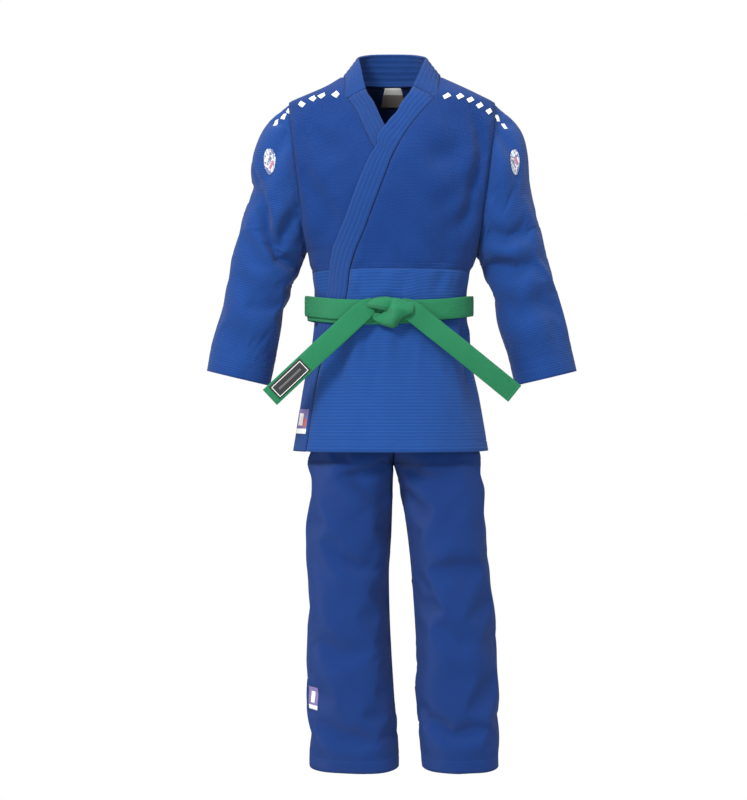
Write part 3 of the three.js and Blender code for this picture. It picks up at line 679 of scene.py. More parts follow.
def settle(cloth, hold, growth=0.03, cap=7.0, bending=6.0, frames=18):
    """Lets the cloth buckle where it is a little too large for its place: a cloth simulation without gravity.

    hold is 1 where a point is sewn down and 0 where it is free, and cap limits the move in millimetres."""
    rows, cols = cloth.p.shape[:2]
    index = np.arange(rows * cols).reshape(rows, cols)
    if cloth.closed:
        index = np.concatenate([index, index[:, :1]], 1)
    quads = np.stack([index[:-1, :-1], index[:-1, 1:], index[1:, 1:], index[1:, :-1]], -1).reshape(-1, 4)
    mesh = bpy.data.meshes.new("settling")
    mesh.from_pydata((cloth.p.reshape(-1, 3) * 0.001).tolist(), [], quads.tolist())
    body = bpy.data.objects.new("settling", mesh)
    bpy.context.scene.collection.objects.link(body)
    group = body.vertex_groups.new(name="sewn")
    weights = np.clip(hold, 0, 1).reshape(-1)
    for level in np.unique(np.round(weights, 1)):
        chosen = np.nonzero(np.round(weights, 1) == level)[0]
        if level > 0:
            group.add(chosen.tolist(), float(level), "REPLACE")
    sim = body.modifiers.new("cloth", "CLOTH")
    fabric = sim.settings
    fabric.quality = 4
    fabric.mass = 0.35
    fabric.tension_stiffness = fabric.compression_stiffness = 20
    fabric.shear_stiffness = 8
    fabric.bending_stiffness = bending
    fabric.tension_damping = fabric.compression_damping = 12
    fabric.vertex_group_mass = "sewn"
    fabric.pin_stiffness = 1.0
    fabric.shrink_min = -growth
    fabric.effector_weights.gravity = 0
    sim.collision_settings.use_collision = False
    sim.point_cache.frame_start, sim.point_cache.frame_end = 1, frames
    for frame_number in range(1, frames + 1):
        bpy.context.scene.frame_set(frame_number)
    ready = body.evaluated_get(bpy.context.evaluated_depsgraph_get())
    co = np.zeros(rows * cols * 3, np.float32)
    ready.data.vertices.foreach_get("co", co)
    bpy.data.objects.remove(body)
    bpy.data.meshes.remove(mesh)
    bpy.context.scene.frame_set(1)
    move = co.reshape(rows, cols, 3).astype(float) * 1000 - cloth.p
    size = np.linalg.norm(move, axis=-1, keepdims=True)
    free = (1 - np.clip(hold, 0, 1))[..., None]
    cloth.p = cloth.p + move * (cap * np.tanh(size / cap) / np.maximum(size, 1e-6)) * smooth(free, 0, 0.5)


def attach(piece, body, nodes):
    """Puts a piece on one body, or, given (body, body, start, end), only bakes its transform where it stands; the
    CAD nodes it replaces are hidden.
    """
    if isinstance(body, str):
        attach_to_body(piece, body)
    else:
        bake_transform(piece)
    if nodes:
        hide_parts(*nodes)


def finish(cloth, name, nodes, material, thickness, body="jacket",
           sheet=True):
    piece = cloth.shell(name, material, thickness)
    attach(piece, body, nodes)
    if sheet:
        width, length, area = cloth.size()


# ------------------------------------------------------------------ Jacket body

HEM_STITCH = 20.0
WAIST_ROWS, HEM_ROWS = [WAIST_SEAM + 5, WAIST_SEAM + 11], [SKIRT_HEM + HEM_STITCH]
FITTED = {}


def seam_grooves(z, places, depth=0.8, width=1.5):
    return sum(depth * np.exp(-(((z - place) / width) ** 2)) for place in places)


def hem_thickness(z, hem, single=JACKET_T, depth=HEM_STITCH):
    return single + 0.9 * (1 - smooth(z - hem, depth - 3, depth + 1))


def panel(key, node, material, us, rows, surface, waves, seed, sides):
    """A cloth of the jacket body, above or below the waist seam, its side edges flat for a width of sides."""
    u, z = np.meshgrid(us, rows)
    cloth = Cloth(us, rows, surface(u, z))
    upper = rows[0] > WAIST_SEAM
    soft = edge_fade(cloth, bottom=14 if upper else 0, left=sides, right=sides)
    grooves = seam_grooves(z, WAIST_ROWS if upper else HEM_ROWS)
    cloth.push(soft * (waves(cloth.p[..., 0], z) + puckers(cloth.p, seed)) - grooves)
    if upper:
        cloth.p = armhole_pull(cloth.p)
    finish(cloth, f"{key}_cloth", [node], material, JACKET_T if upper else hem_thickness(z, SKIRT_HEM))
    FITTED[key] = cloth


def jacket_body():
    angles, shares = rungs([-90 * RAD, 90 * RAD], 2.4 * RAD), rungs([0, 1], 1 / 56)

    def back(a, z):
        return body_point(1, a, z)

    def upper_rows(stops, step):
        return rungs([WAIST_SEAM + SEAM, *stops], step, lines=WAIST_ROWS, half=1.6)

    def skirt_rows(step):
        return rungs([SKIRT_HEM, WAIST_SEAM], step, lines=HEM_ROWS, half=2.2)

    panel("back", "back_panel", back_cloth, angles, upper_rows([HANG - SEAM], 5.5), back,
          lambda x, z: creases(x, z, BACK_FOLDS) + 1.3 * ripple(x, z, 85, 31, spread=1.6), 41, sides=22)
    for side, seed in (("left", 51), ("right", 61)):
        def front(share, z, side=side):
            return front_point(side, share, z)

        def chest_waves(x, z, seed=seed):
            return creases(x, z, FRONT_FOLDS) + 1.3 * ripple(x, z, 80, seed, spread=1.8)

        def skirt_waves(x, z, seed=seed):
            return 1.6 * ripple(x, z, 110, seed + 5, spread=0.8) * smooth(BELT_Z - z, 20, 120)

        panel(f"front_{side}", f"front_panel_{side}", upper_cloth, shares, upper_rows([1365, 1371.4], 5.0),
              front, chest_waves, seed + 2, sides=16)
        panel(f"skirt_{side}", f"skirt_front_{side}", skirt_cloth, shares, skirt_rows(5.5),
              front, skirt_waves, seed + 2, sides=14)
    panel("skirt_back", "skirt_back", skirt_cloth, angles, skirt_rows(6), back,
          lambda x, z: 2.2 * ripple(x, z, 95, 77, spread=0.7) * smooth(BELT_Z - z, 20, 140), 41, sides=20)


def jacket_linings():
    """The yoke lining, the neck label on it, and the squares sewn inside the top of each side slit."""
    inside = -JACKET_T - LAYER
    yoke = FITTED["back"].layer(
        rungs([-57.3 * RAD, 57.3 * RAD], 3.5 * RAD), rungs([1210, HANG - SEAM - 1], 7), inside)
    finish(yoke, "yoke_lining_cloth", ["yoke_lining"], lining_cloth, LINING_T)
    label = FITTED["back"].layer(
        rungs([-8 * RAD, 5.5 * RAD], 1.2 * RAD), rungs([1332, 1368], 3), inside - LAYER - LINING_T)
    finish(label, "neck_label_cloth", ["neck_label"], label_cloth(), 0.9, sheet=False)
    for side, low, high in (("right", 73.6, 89.4), ("left", -89.4, -73.6)):
        square = FITTED["skirt_back"].layer(
            rungs([low * RAD, high * RAD], 1.2 * RAD), rungs([775.3, 822.7], 4), inside)
        finish(square, f"side_vent_patch_{side}_cloth", [f"side_vent_patch_{side}"], lining_cloth, LINING_T)


def label_cloth():
    """A blank woven label: brown-grey ground with a pale strip along its top."""
    s = Shader("label_neck")
    vector, _, v = s.uv()
    thread = s.noise(vector, 1800.0, 1.0)
    band = s.maths("GREATER_THAN", v, 0.031)
    base = s.mix(band, (0.17, 0.14, 0.13, 1), (0.72, 0.72, 0.70, 1))
    base = s.mix(s.maths("MULTIPLY", thread, 0.25), base, (0.30, 0.28, 0.26, 1))
    return s.finish(base, s.maths("MULTIPLY_ADD", thread, 0.2, 0.6), thread, 0.0003)


jacket_body()
jacket_linings()


# ------------------------------------------------------------------ Lapels and collar


def quilt(share, rows=5, depth=1.3):
    """Sewn rows along a band: grooves at even shares, soft rolls between."""
    return depth * (np.abs(np.sin(math.pi * rows * share)) ** 0.5 - 1)


COLLAR_LEAN = 0.56


def lapels():
    heights = rungs([SKIRT_HEM, LAPEL_TOP], 5)
    shares = rungs([0, 1], 1 / 30)
    for side, raised, seed in (("left", 2.0, 91), ("right", 1.5, 95)):
        u, z = np.meshgrid(shares, heights)
        share = 1 - u if side == "left" else u
        band = Cloth(shares, heights, band_point(side, share, z, raised))
        crown = -1.6 * np.abs(2 * share - 1) ** 6
        drift = 0.8 * ripple(band.p[..., 0], z, 120, seed, spread=1.0)
        band.push(quilt(share) + crown + drift * smooth(np.abs(z - BELT_Z + 15), 24, 60))
        finish(band, f"lapel_{side}_cloth", [f"lapel_{side}"], band_cloth, BAND_T - 0.8)
        FITTED[f"lapel_{side}"] = band

    ramp = rungs([LAPEL_TOP + 0.72, 1328, 1344, 1356, 1365, HANG], 3)
    arc = rungs([-80 * RAD, 80 * RAD], 4 * RAD)
    stations = [("left", z) for z in ramp] + [("back", a) for a in arc] + [("right", z) for z in ramp[::-1]]
    shares = rungs([-0.12, 1], 1 / 40)
    lower = {side: band_point(side, np.array(0.0), np.array(LAPEL_TOP)) for side in ("left", "right")}
    upper = {side: band_point(side, np.array(1.0), np.array(LAPEL_TOP)) for side in ("left", "right")}
    columns = []
    for kind, value in stations:
        if kind == "back":
            root = body_point(1, np.array(value), np.array(HANG))
            outward = unit(np.array([root[0], root[1], 0]))
            lean = lerp(0.12, COLLAR_LEAN, abs(math.sin(value)) ** 3)
            wide = BAND_W * lerp(1.34, 1.12, abs(math.sin(value)) ** 3)
            rise = unit(np.array([-outward[0] * lean, -outward[1] * lean, 1.0]))
        else:
            up = (value - ramp[0]) / (HANG - ramp[0])
            root = band_point(kind, np.array(0.0), np.array(value))
            flat = unit(upper[kind] - lower[kind])
            wide = lerp(np.linalg.norm(upper[kind] - lower[kind]), BAND_W * 1.12, smooth(up, 0, 1))
            leaning = unit(np.array([-np.sign(root[0]) * COLLAR_LEAN, 0, 1.0]))
            rise = unit(lerp(flat, leaning, smooth(up, 0, 1)))
            angle = FRONTS[kind][0](value) * RAD
            height = np.array(value)
            outward = unit(body_point(-1, angle, height, 5) - body_point(-1, angle, height, 0))
        columns.append(root + np.outer(LAYER + shares * wide, rise) + outward * 2.0)
    p = np.stack(columns, 1)
    share = np.broadcast_to(shares[:, None], p.shape[:2])
    for step in range(40):
        eased = (p[:, :-2] + 2 * p[:, 1:-1] + p[:, 2:]) / 4
        pull = np.clip(share[:, 1:-1] + 0.12 * (step < 12), 0, 1)[..., None] ** 2
        p[:, 1:-1] = lerp(p[:, 1:-1], eased, pull)
    collar = Cloth(np.arange(len(stations)), shares, p)
    collar.push(quilt(share) - 1.4 * np.abs(2 * share - 1) ** 6)
    finish(collar, "neck_band_cloth", ["neck_band"], band_cloth, BAND_T - 0.8)


lapels()


# ------------------------------------------------------------------ Sleeves

SLEEVE_FOLDS = {
    "left": [
        ([(206, 1262), (236, 1200), (250, 1120)], 4, 12, 2.5),
        ([(186, 1060), (226, 1044), (268, 1060)], 6, 12, 3.5),
        ([(196, 1006), (240, 980), (288, 1000)], 5, 14, 3),
        ([(214, 930), (256, 900), (310, 930)], 3.5, 16, 2.5),
        ([(240, 1150), (262, 1060), (270, 980)], 3, 14, 2),
        ([(290, 960), (318, 880), (330, 820)], 3, 16, 2),
    ],
    "right": [
        ([(-206, 1262), (-238, 1190), (-252, 1130)], 4, 12, 2.5),
        ([(-264, 1148), (-250, 1060), (-224, 1004), (-184, 996)], 8, 11, 4),
        ([(-282, 1060), (-262, 1000), (-226, 962)], 4.5, 13, 3),
        ([(-300, 980), (-268, 920), (-226, 900)], 3.5, 15, 2.5),
        ([(-330, 880), (-300, 840), (-262, 820)], 2.5, 18, 2),
        ([(-190, 1100), (-214, 1050), (-220, 1020)], 5, 10, 3),
    ],
}


# How far down a sleeve its cuff facing starts, and for each sleeve two bodies and two planes, passed on with it;
# the sleeve is baked in place, not bent between them.
FACING_START = 1 - 0.25 * 42 / (0.525 * 485)
SLEEVE_ENDS = {side: ("jacket", f"sleeve_{side}", (sign * 0.192, 0, -0.200), (sign * 0.302, 0, -0.214))
               for side, sign in (("left", 1), ("right", -1))}


def sleeves():
    count = 110
    angles = np.arange(count) * 2 * math.pi / count
    runs = np.array(sorted(set(np.round(np.concatenate([
        np.linspace(0, 0.75, 92), np.linspace(0.75, 1, 50)]), 5))))[::-1]
    for side, sign in (("left", 1), ("right", -1)):
        a, run = np.meshgrid(angles, runs)
        p = sleeve_point(sign, a, run)
        sleeve = Cloth(angles, runs, p, closed=True)
        x, y, z = p[..., 0], p[..., 1], p[..., 2]
        front = smooth(-y, -20, 30)
        fade = smooth(run, 0.0, 0.06)
        bends = creases(x, z, SLEEVE_FOLDS[side]) * front
        mirrored = creases(x + sign * 6, z - 14, SLEEVE_FOLDS[side]) * (1 - front)
        soft = 1.7 * ripple(x * 1.2, z, 90, 101 if side == "left" else 107, spread=1.4)
        cuff = 1 - smooth(run, 0.9, 0.97)
        groove = seam_grooves(run * 500, [FACING_START * 500], depth=0.7, width=1.6)
        sleeve.push(fade * (bends + mirrored + soft * (0.35 + 0.65 * cuff)) - groove)
        settle(sleeve, 1 - 0.98 * smooth(run, 0.0, 0.10) * (1 - 0.75 * smooth(run, 0.90, 0.98)))
        sleeve.p = armhole_pull(sleeve.p)
        tuck = np.exp(-run / 0.006)[..., None]
        sleeve.p = sleeve.p - tuck * np.stack([5.0 * sign + 0 * x, 0.03 * y, 0.8 * smooth(z, 1200, 1318)], -1)
        thickness = JACKET_T + 0.9 * smooth(run, FACING_START - 0.004, FACING_START + 0.004)
        finish(sleeve, f"sleeve_{side}_cloth", [f"sleeve_{side}"], sleeve_cloth, thickness, SLEEVE_ENDS[side])
        FITTED[f"sleeve_{side}"] = sleeve
        facing_runs = np.linspace(1, FACING_START, 12)
        facing = sleeve.layer(angles, facing_runs, -JACKET_T - 0.9 - LAYER, closed=True)
        finish(facing, f"cuff_facing_{side}_cloth", [f"cuff_facing_{side}"], lining_cloth, 1.0,
               f"sleeve_{side}")


sleeves()


# ------------------------------------------------------------------ Trousers

TROUSER_FOLDS = [
    ([(-92, 590), (-60, 562), (-30, 530)], 5, 10, 3),
    ([(-8, 612), (-40, 590), (-80, 580)], 4, 10, 2),
    ([(14, 610), (50, 580), (96, 566)], 4, 11, 2),
    ([(20, 560), (46, 520), (60, 480)], 3.5, 12, 2),
    ([(-6, 590), (-12, 530), (-16, 450)], 4, 12, 1),
    ([(-100, 424), (-64, 402), (-34, 398)], 4, 11, 2.5),
    ([(150, 410), (110, 396), (70, 404)], 3, 14, 2),
    ([(84, 300), (130, 262), (176, 250)], 2.5, 16, 1.5),
    ([(-150, 262), (-96, 236), (-50, 240)], 2.5, 16, 1.5),
    ([(-130, 96), (-92, 70), (-40, 66)], 3, 12, 2),
    ([(70, 110), (120, 78), (180, 84)], 3, 12, 2),
]
BADGE_ROWS = (120, 164)
CROTCH = 600.0


def trousers():
    for side, (sign, _, _) in LEGS.items():
        winds = np.linspace(-1, 1, 101)
        rows = rungs([0, CROTCH, 961.2], 6.5, lines=[22], half=2.2)
        u, z = np.meshgrid(winds, rows)
        leg = Cloth(winds, rows, trouser_point(side, sign * u, z))
        x, y = leg.p[..., 0], leg.p[..., 1]
        front = smooth(-y, -20, 20)
        soft = edge_fade(leg, top=60, bottom=0, left=12, right=12)
        relief = creases(x, z, TROUSER_FOLDS) * front + creases(x, z - 30, TROUSER_FOLDS) * (1 - front)
        seed = 201 if side == "left" else 211
        waves = 2.4 * ripple(x * 1.1, z, 150, seed, spread=0.7)
        relief += waves + 0.9 * ripple(x, z, 60, seed + 3, spread=1.6)
        hidden = smooth(z, CROTCH + 10, CROTCH + 60)
        relief = lerp(relief, -1.0 + 0 * relief, hidden)
        leg.push(soft * relief - seam_grooves(z, [22], depth=0.6))
        free = soft * (1 - hidden) * (0.2 + 0.8 * smooth(z, 18, 50))
        settle(leg, 1 - 0.98 * free, growth=0.02, bending=9.0)
        hip = (sign * 0.09, 0, -0.682), (sign * 0.09, 0, -0.872)
        finish(leg, f"trouser_{side}_cloth", [f"trouser_seat_{side}", f"trouser_leg_{side}"], trouser_cloth,
               hem_thickness(z, 0, TROUSER_T, 22), ("trousers", f"leg_{side}", *hip))
        FITTED[f"leg_{side}"] = leg
        us = np.linspace(-0.75, -0.25, 30) if sign > 0 else np.linspace(0.25, 0.75, 30)
        zs = np.linspace(290, 480, 36)
        knee = leg.layer(us, zs, -TROUSER_T - LAYER)
        finish(knee, f"knee_lining_{side}_cloth", [f"knee_lining_{side}"], lining_cloth, 1.0, f"leg_{side}")


def waist_ring(angle, z, lift):
    s, c = np.sin(angle), np.cos(angle)
    x, y = TROUSER_MIDDLE + (132 + lift) * power(s, SHAPE), -(90 + lift) * power(c, SHAPE)
    return np.stack([x, y, z + 0 * angle], -1)


def waistband():
    angles = np.arange(160) * 2 * math.pi / 160
    rows = rungs([962, 1002], 3)
    a, z = np.meshgrid(angles, rows)
    band = Cloth(angles, rows, waist_ring(a, z, 1.6), closed=True)
    gather = 0.5 * ripple(np.arctan2(np.sin(a), np.cos(a)) * 110, z, 16, 301, spread=0.3)
    band.push(np.minimum(gather, 0) - seam_grooves(z, [966, 998], depth=0.5))
    finish(band, "trouser_waistband_cloth", ["trouser_waistband"], waist_cloth, 3.2, "trousers")
    for side, sign in (("left", 1), ("right", -1)):
        us, vs = np.linspace(-1, 1, 7), np.linspace(0, 1, 24)
        u, v = np.meshgrid(us, vs)
        ring = waist_ring((sign * 30 + u * 2.2) * RAD, 966 + v * 32, 1.9 + 3.5 * np.sin(math.pi * v))
        loop = Cloth(us, vs, ring + np.array([0, -1.2, 0]))
        finish(loop, f"drawstring_loop_{side}_cloth", [f"drawstring_loop_{side}"], waist_cloth, 1.2,
               "trousers", sheet=False)


trousers()
waistband()

# ------------------------------------------------------------------ Belt

BELT_T = 3.6


def belt_rows(share, depth=0.35):
    return quilt(share, rows=9, depth=depth) - 1.1 * np.abs(2 * share - 1) ** 8


def belt_wraps():
    angles = np.arange(220) * 2 * math.pi / 220
    shares = np.linspace(0, 1, 46)
    a, share = np.meshgrid(angles, shares)
    for name, lift, seed, sag in (("inner", BELT_T, 401, 5), ("outer", 2 * BELT_T + SEAM, 405, 0)):
        z = BELT_Z - 20 + 40 * share + 0.8 * ripple(a * 150, 0 * a, 260, seed, spread=0.0)
        p = belt_point(a, z, lift)
        p[..., 2] += sag * (np.sin(a) - 1)
        wrap = Cloth(angles, shares, p, closed=True)
        wrap.push(belt_rows(share))
        finish(wrap, f"belt_wrap_{name}_cloth", [f"belt_wrap_{name}"], belt_cloth, BELT_T - 0.5)


KNOT_X, PIVOT_SPREAD, PIVOT_Z, ROOT = -11.0, 36.0, 907.0, 14.0
TAIL_LEAN = 6 * RAD
TAILS = {"left": (1, 51 * RAD, 266.0, 125.405), "right": (-1, 47 * RAD, 256.0, 124.897)}
LEAN_DOWN = np.array([0, -math.sin(TAIL_LEAN), -math.cos(TAIL_LEAN)])
LEAN_OUT = np.array([0, -math.cos(TAIL_LEAN), math.sin(TAIL_LEAN)])
tail_half = profile([(-14, 9), (-6, 14), (0, 17), (22, 20), (266, 20)])


def tail_point(side, across, run, lift):
    sign, angle, _, depth = TAILS[side]
    forward = LEAN_DOWN * math.cos(angle) + np.array([sign * math.sin(angle), 0, 0])
    edgeways = np.cross(LEAN_OUT, forward)
    root = np.array([KNOT_X + sign * PIVOT_SPREAD, -depth, PIVOT_Z])
    flat = root + run[..., None] * forward + across[..., None] * edgeways
    return flat + np.asarray(lift)[..., None] * LEAN_OUT


def belt_tails():
    for side, (sign, _, length, _) in TAILS.items():
        us = np.linspace(-1, 1, 46)
        runs = np.concatenate([np.linspace(length, 30, 90), np.linspace(27, -ROOT, 26)])
        u, run = np.meshgrid(us, runs)
        share = (u + 1) / 2
        along = np.clip(run / length, 0, 1)
        bow = 4.5 * np.sin(math.pi * along) ** 2 - 5 * along**3 + 3.0 * np.exp(-((run - 24) / 20) ** 2)
        roll = -1.4 * (u**2) * np.sin(math.pi * along)
        lift = BELT_T / 2 + bow + roll + 0.5 * ripple(run, u * 20, 90, 411 + sign, spread=1.0) * along
        p = tail_point(side, u * tail_half(run), run, lift)
        tail = Cloth(us, runs, p)
        end = 1.0 * np.exp(-(((length - run) - 6) / 1.6) ** 2)
        tail.push(belt_rows(share) - end)
        finish(tail, f"belt_tail_{side}_cloth", [f"belt_tail_{side}"], belt_cloth, BELT_T - 0.5,
               f"belt_end_{side}")
        FITTED[f"tail_{side}"] = tail


def spline(points, count):
    """Rows of control points made smooth and dense along the first axis."""
    points = np.asarray(points, float)
    return np.stack([catmull(points[:, k])(np.linspace(0, 1, count)) for k in range(points.shape[1])], 1)


def patch(name, control, node, rows=8, size=(60, 60)):
    """A fold of the belt: control points in rows from the bottom, each from left to right."""
    grid = spline(control, size[0])
    grid = np.swapaxes(spline(np.swapaxes(grid, 0, 1), size[1]), 0, 1)
    us, vs = np.linspace(0, 1, size[1]), np.linspace(0, 1, size[0])
    fold = Cloth(us, vs, grid)
    share = np.broadcast_to(vs[:, None] if rows > 0 else us[None, :], grid.shape[:2])
    edge = np.minimum(1 - np.abs(2 * us[None, :] - 1), 1 - np.abs(2 * vs[:, None] - 1))
    fold.push(quilt(share, rows=abs(rows), depth=0.4) - 1.5 * (1 - smooth(edge, 0, 0.14)))
    finish(fold, name, [node], belt_cloth, BELT_T - 0.6, sheet=False)


def knot():
    patch("belt_knot_core_cloth", [
        [(-52, -126, 905), (-34, -136, 901), (-16, -139, 897), (-2, -133, 894)],
        [(-52, -130, 911), (-32, -143, 909), (-14, -146, 906), (0, -139, 903)],
        [(-46, -130, 918), (-28, -141, 920), (-10, -143, 919), (3, -137, 915)],
        [(-40, -123, 923), (-24, -128, 926), (-8, -129, 926), (5, -125, 922)],
    ], "belt_knot_core", rows=5)
    patch("belt_knot_cross_cloth", [
        [(-24, -127, 872), (-10, -131, 866), (2, -132, 864), (9, -128, 868)],
        [(-38, -129, 882), (-20, -134, 878), (2, -141, 875), (15, -133, 880)],
        [(-22, -131, 894), (-12, -137, 892), (6, -148, 889), (26, -138, 886)],
        [(-12, -136, 906), (-4, -145, 905), (10, -151, 903), (38, -140, 893)],
        [(-8, -131, 918), (0, -138, 919), (12, -140, 917), (42, -134, 906)],
        [(-6, -123, 924), (2, -127, 925), (14, -128, 923), (44, -127, 914)],
    ], "belt_knot_cross", rows=-6)
    patch("belt_knot_lobe_cloth", [
        [(-26, -125, 872), (-14, -127, 868), (0, -128, 866), (10, -126, 868)],
        [(-40, -126, 884), (-22, -129, 880), (0, -131, 878), (14, -128, 882)],
        [(-44, -126, 896), (-26, -130, 894), (-4, -131, 892), (14, -128, 892)],
    ], "belt_knot_lobe", rows=4)


belt_wraps()
belt_tails()
knot()

# ------------------------------------------------------------------ Badges and embroidered marks


def badge_cloth(name, ground, marks, border=(0.6, 0.6, 0.58), speckle=None):
    """A woven badge: a plain ground, thread grain, and marks: bars (low v, high v, left u, right u, colour)."""
    s = Shader(f"badge_{name}")
    vector, u, v = s.uv()
    thread = s.noise(vector, 1500.0, 1.0)
    base = (*ground, 1)
    for low, high, left, right, colour in marks:
        middle, half = (low + high) / 2, (high - low) / 2
        tall = s.maths("LESS_THAN", s.maths("ABSOLUTE", s.maths("SUBTRACT", v, middle)), half)
        centre, reach = (left + right) / 2, (right - left) / 2
        wide = s.maths("LESS_THAN", s.maths("ABSOLUTE", s.maths("SUBTRACT", u, centre)), reach)
        base = s.mix(s.maths("MULTIPLY", tall, wide), base, (*colour, 1))
    if speckle:
        base = s.mix(s.maths("GREATER_THAN", s.noise(vector, 210.0, 2.0), 0.53), base, (*speckle, 1))
    base = s.mix(s.maths("MULTIPLY", thread, 0.3), base, (*border, 1))
    s.surface.inputs["Specular IOR Level"].default_value = 0.3
    return s.finish(base, s.maths("MULTIPLY_ADD", thread, 0.25, 0.5), thread, 0.0003)


WHITE, RED, NAVY, INK = (0.78, 0.78, 0.76), (0.45, 0.03, 0.04), (0.03, 0.04, 0.12), (0.008, 0.009, 0.011)
DIAMOND = -1.0


def mark(source, name, body, us, vs, material, node=None, lift=1.5, thickness=0.9,
         cols=(14, 16), oval=0.0):
    """A patch on another cloth: between us and vs, its corners rounded by oval from 0 to 1, or a diamond."""
    u, v = np.linspace(*us, cols[0]), np.linspace(*vs, cols[1])
    a, b = np.meshgrid(u, v)
    s, t = np.meshgrid(np.linspace(-1, 1, cols[0]), np.linspace(-1, 1, cols[1]))
    if oval == DIAMOND:
        s, t = (s + t) / 2, (t - s) / 2
        a, b = np.mean(us) + s * np.ptp(us) / 2, np.mean(vs) + t * (vs[1] - vs[0]) / 2
    else:
        a = lerp(np.mean(us), a, lerp(1, np.sqrt(1 - t * t / 2), oval))
        b = lerp(np.mean(vs), b, lerp(1, np.sqrt(1 - s * s / 2), oval))
    piece = Cloth(u, v, source.at(a, b, lift)).shell(name, material, thickness)
    attach(piece, body, [node] if node else [])


SHOULDER_MARKS = {
    "right": [(-114, 1340), (-140, 1337), (-160, 1330), (-180, 1321), (-199, 1308), (-216, 1294), (-231, 1280)],
    "left": [(110, 1338), (136, 1334), (156, 1326), (176, 1317), (194, 1306), (210, 1292), (225, 1275)],
}
VIEW_DEPTH, VIEW_X, VIEW_Z = 2800.0, -37.0, 728.0


def span_at(cloth, x, z, half):
    """The u and v ranges, half a mark either way, round the front point seen at x, z by the camera."""
    p = cloth.p
    scale = VIEW_DEPTH / (VIEW_DEPTH + p[..., 1])
    away = np.hypot(VIEW_X + (p[..., 0] - VIEW_X) * scale - x, VIEW_Z + (p[..., 2] - VIEW_Z) * scale - z)
    away = away + 1e3 * (p[..., 1] > 0)
    j, i = np.unravel_index(np.argmin(away), away.shape)
    j, i = min(max(j, 1), p.shape[0] - 2), min(max(i, 1), p.shape[1] - 2)
    along_u = np.linalg.norm(p[j, i + 1] - p[j, i - 1]) / abs(cloth.us[i + 1] - cloth.us[i - 1])
    along_v = np.linalg.norm(p[j + 1, i] - p[j - 1, i]) / (cloth.vs[j + 1] - cloth.vs[j - 1])
    return ((cloth.us[i] - half / along_u, cloth.us[i] + half / along_u),
            (cloth.vs[j] - half / along_v, cloth.vs[j] + half / along_v))


def badges():
    thread_mark = badge_cloth("thread", WHITE, [])
    sleeve_mark = badge_cloth("sleeve", (0.5, 0.5, 0.54), [
        (0.034, 0.044, -0.012, -0.004, NAVY), (0.010, 0.026, 0.001, 0.010, RED),
        (0.020, 0.028, -0.010, -0.002, NAVY), (0.0, 0.007, -0.005, 0.02, SLEEVE_BLUE),
        (0.040, 0.07, 0.004, 0.02, SLEEVE_BLUE)], speckle=SLEEVE_BLUE)
    for side, sign in (("left", 1), ("right", -1)):
        low, high = (20, 42) if sign > 0 else (318, 340)
        ends = SLEEVE_ENDS[side]
        mark(FITTED[f"sleeve_{side}"], f"sleeve_badge_{side}_cloth", ends, (low * RAD, high * RAD),
             (0.325, 0.205), sleeve_mark, node=f"sleeve_badge_{side}", oval=1.0, cols=(22, 26))
        for index, (x, z) in enumerate(SHOULDER_MARKS[side], 1):
            on_sleeve = abs(x) > 198
            source = FITTED[f"sleeve_{side}" if on_sleeve else f"front_{side}"]
            us, vs = span_at(source, x, z, 8.5)
            mark(source, f"shoulder_diamond_{side}_{index}", ends if on_sleeve else "jacket", us, vs,
                 thread_mark, lift=1.2, cols=(9, 9), oval=DIAMOND)
    lapel_mark = badge_cloth("lapel", (0.10, 0.06, 0.28), [
        (0.0, 0.010, -0.03, 0.03, WHITE), (0.016, 0.040, -0.012, 0.002, WHITE),
        (0.014, 0.030, 0.004, 0.014, RED)])
    mark(FITTED["lapel_left"], "lapel_badge_cloth", "jacket", (0.14, 0.88), (662, 710), lapel_mark,
         node="lapel_badge")
    leg_mark = badge_cloth("leg", (0.10, 0.06, 0.28), [
        (0.0, 0.009, -0.03, 0.03, WHITE), (0.014, 0.036, -0.006, 0.004, WHITE)])
    mark(FITTED["leg_right"], "trouser_badge_cloth", "leg_right", (0.13, 0.24), BADGE_ROWS, leg_mark,
         node="trouser_badge")
    end_mark = badge_cloth("belt", INK, [
        (0.003, 0.0042, -0.012, 0.012, WHITE), (0.0758, 0.077, -0.012, 0.012, WHITE),
        (0.003, 0.077, -0.0124, -0.0112, WHITE), (0.003, 0.077, 0.0112, 0.0124, WHITE),
        (0.012, 0.068, -0.0020, 0.0020, (0.10, 0.10, 0.11))], border=(0.05, 0.05, 0.05))
    mark(FITTED["tail_right"], "belt_label_cloth", "belt_end_right", (-0.75, 0.75), (244, 164), end_mark,
         node="belt_label", lift=1.3, cols=(20, 44))


badges()

# ------------------------------------------------------------------ Eyelet metal, light, camera


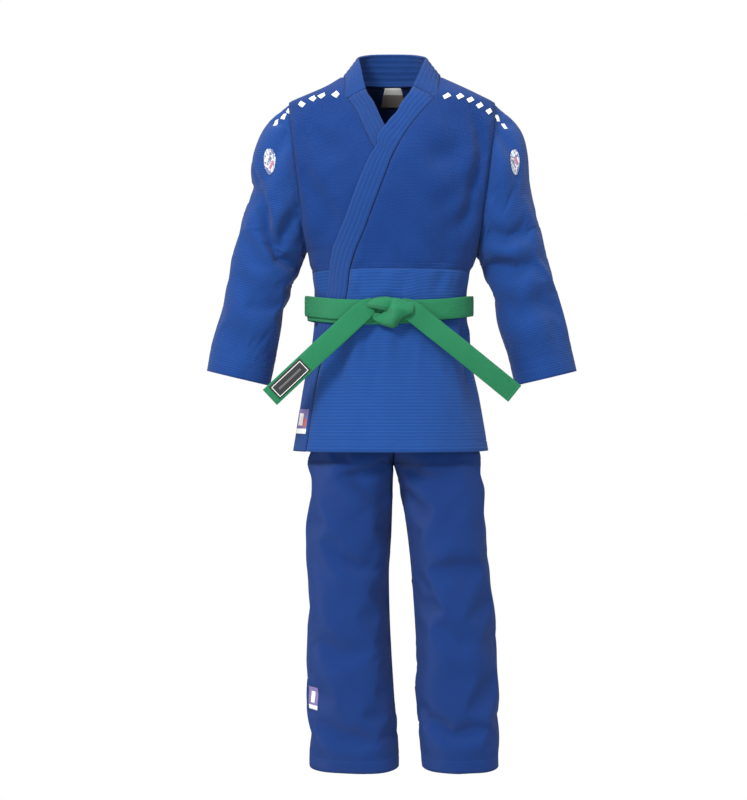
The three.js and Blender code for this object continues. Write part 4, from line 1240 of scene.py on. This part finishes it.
def metal():
    s = Shader("eyelet_satin")
    place = s.node("ShaderNodeTexCoord").outputs["Object"]
    grain = s.noise(place, 900.0, 2.0)
    s.surface.inputs["Metallic"].default_value = 1.0
    base = s.mix(grain, (0.42, 0.42, 0.40, 1), (0.62, 0.61, 0.58, 1))
    return s.finish(base, s.maths("MULTIPLY_ADD", grain, 0.2, 0.28), grain, 0.0001)


eyelet_metal = metal()
for side in ("left", "right"):
    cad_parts[f"drawstring_eyelet_{side}"].data.materials.clear()
    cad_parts[f"drawstring_eyelet_{side}"].data.materials.append(eyelet_metal)


def area_light(name, place, aim, size, power_w):
    data = bpy.data.lights.new(name, "AREA")
    data.shape, data.size, data.energy = "DISK", size, power_w
    lamp = bpy.data.objects.new(name, data)
    lamp.location = place
    direction = np.array(aim, float) - np.array(place, float)
    lamp.rotation_euler = Vector(direction).to_track_quat("-Z", "Y").to_euler()
    bpy.context.scene.collection.objects.link(lamp)


area_light("key", (-1.5, -2.4, 1.3), (0, 0, -0.6), 1.0, 105)
area_light("fill", (2.2, -2.6, 0.2), (0, 0, -0.6), 1.6, 22)
area_light("low", (-0.6, -2.7, -1.5), (0, 0, -1.0), 1.6, 34)
area_light("top", (0.3, -0.5, 2.2), (0, 0, -0.6), 1.2, 40)
world = bpy.data.worlds.new("studio")
world.use_nodes = True
sky = world.node_tree
toward = sky.nodes.new("ShaderNodeTexCoord")
split = sky.nodes.new("ShaderNodeSeparateXYZ")
ramp = sky.nodes.new("ShaderNodeMapRange")
ramp.interpolation_type = "SMOOTHSTEP"
for socket, value in zip(ramp.inputs[1:5], (-0.35, 0.30, 0.60, 1.0)):
    socket.default_value = value
sky.links.new(toward.outputs["Generated"], split.inputs[0])
sky.links.new(split.outputs[1], ramp.inputs[0])
sky.nodes["Background"].inputs[0].default_value = (1, 1, 1, 1)
sky.links.new(ramp.outputs[0], sky.nodes["Background"].inputs[1])
bpy.context.scene.world = world
bpy.context.scene.view_settings.view_transform = "Standard"

camera_data = bpy.data.cameras.new("camera")
camera_data.lens = 63
camera_data.sensor_width = 36
camera = bpy.data.objects.new("camera", camera_data)
camera.location = (-0.037, -2.8, -0.644)
camera.rotation_euler = (90 * RAD, 0, 0)
bpy.context.scene.collection.objects.link(camera)
bpy.context.scene.camera = camera
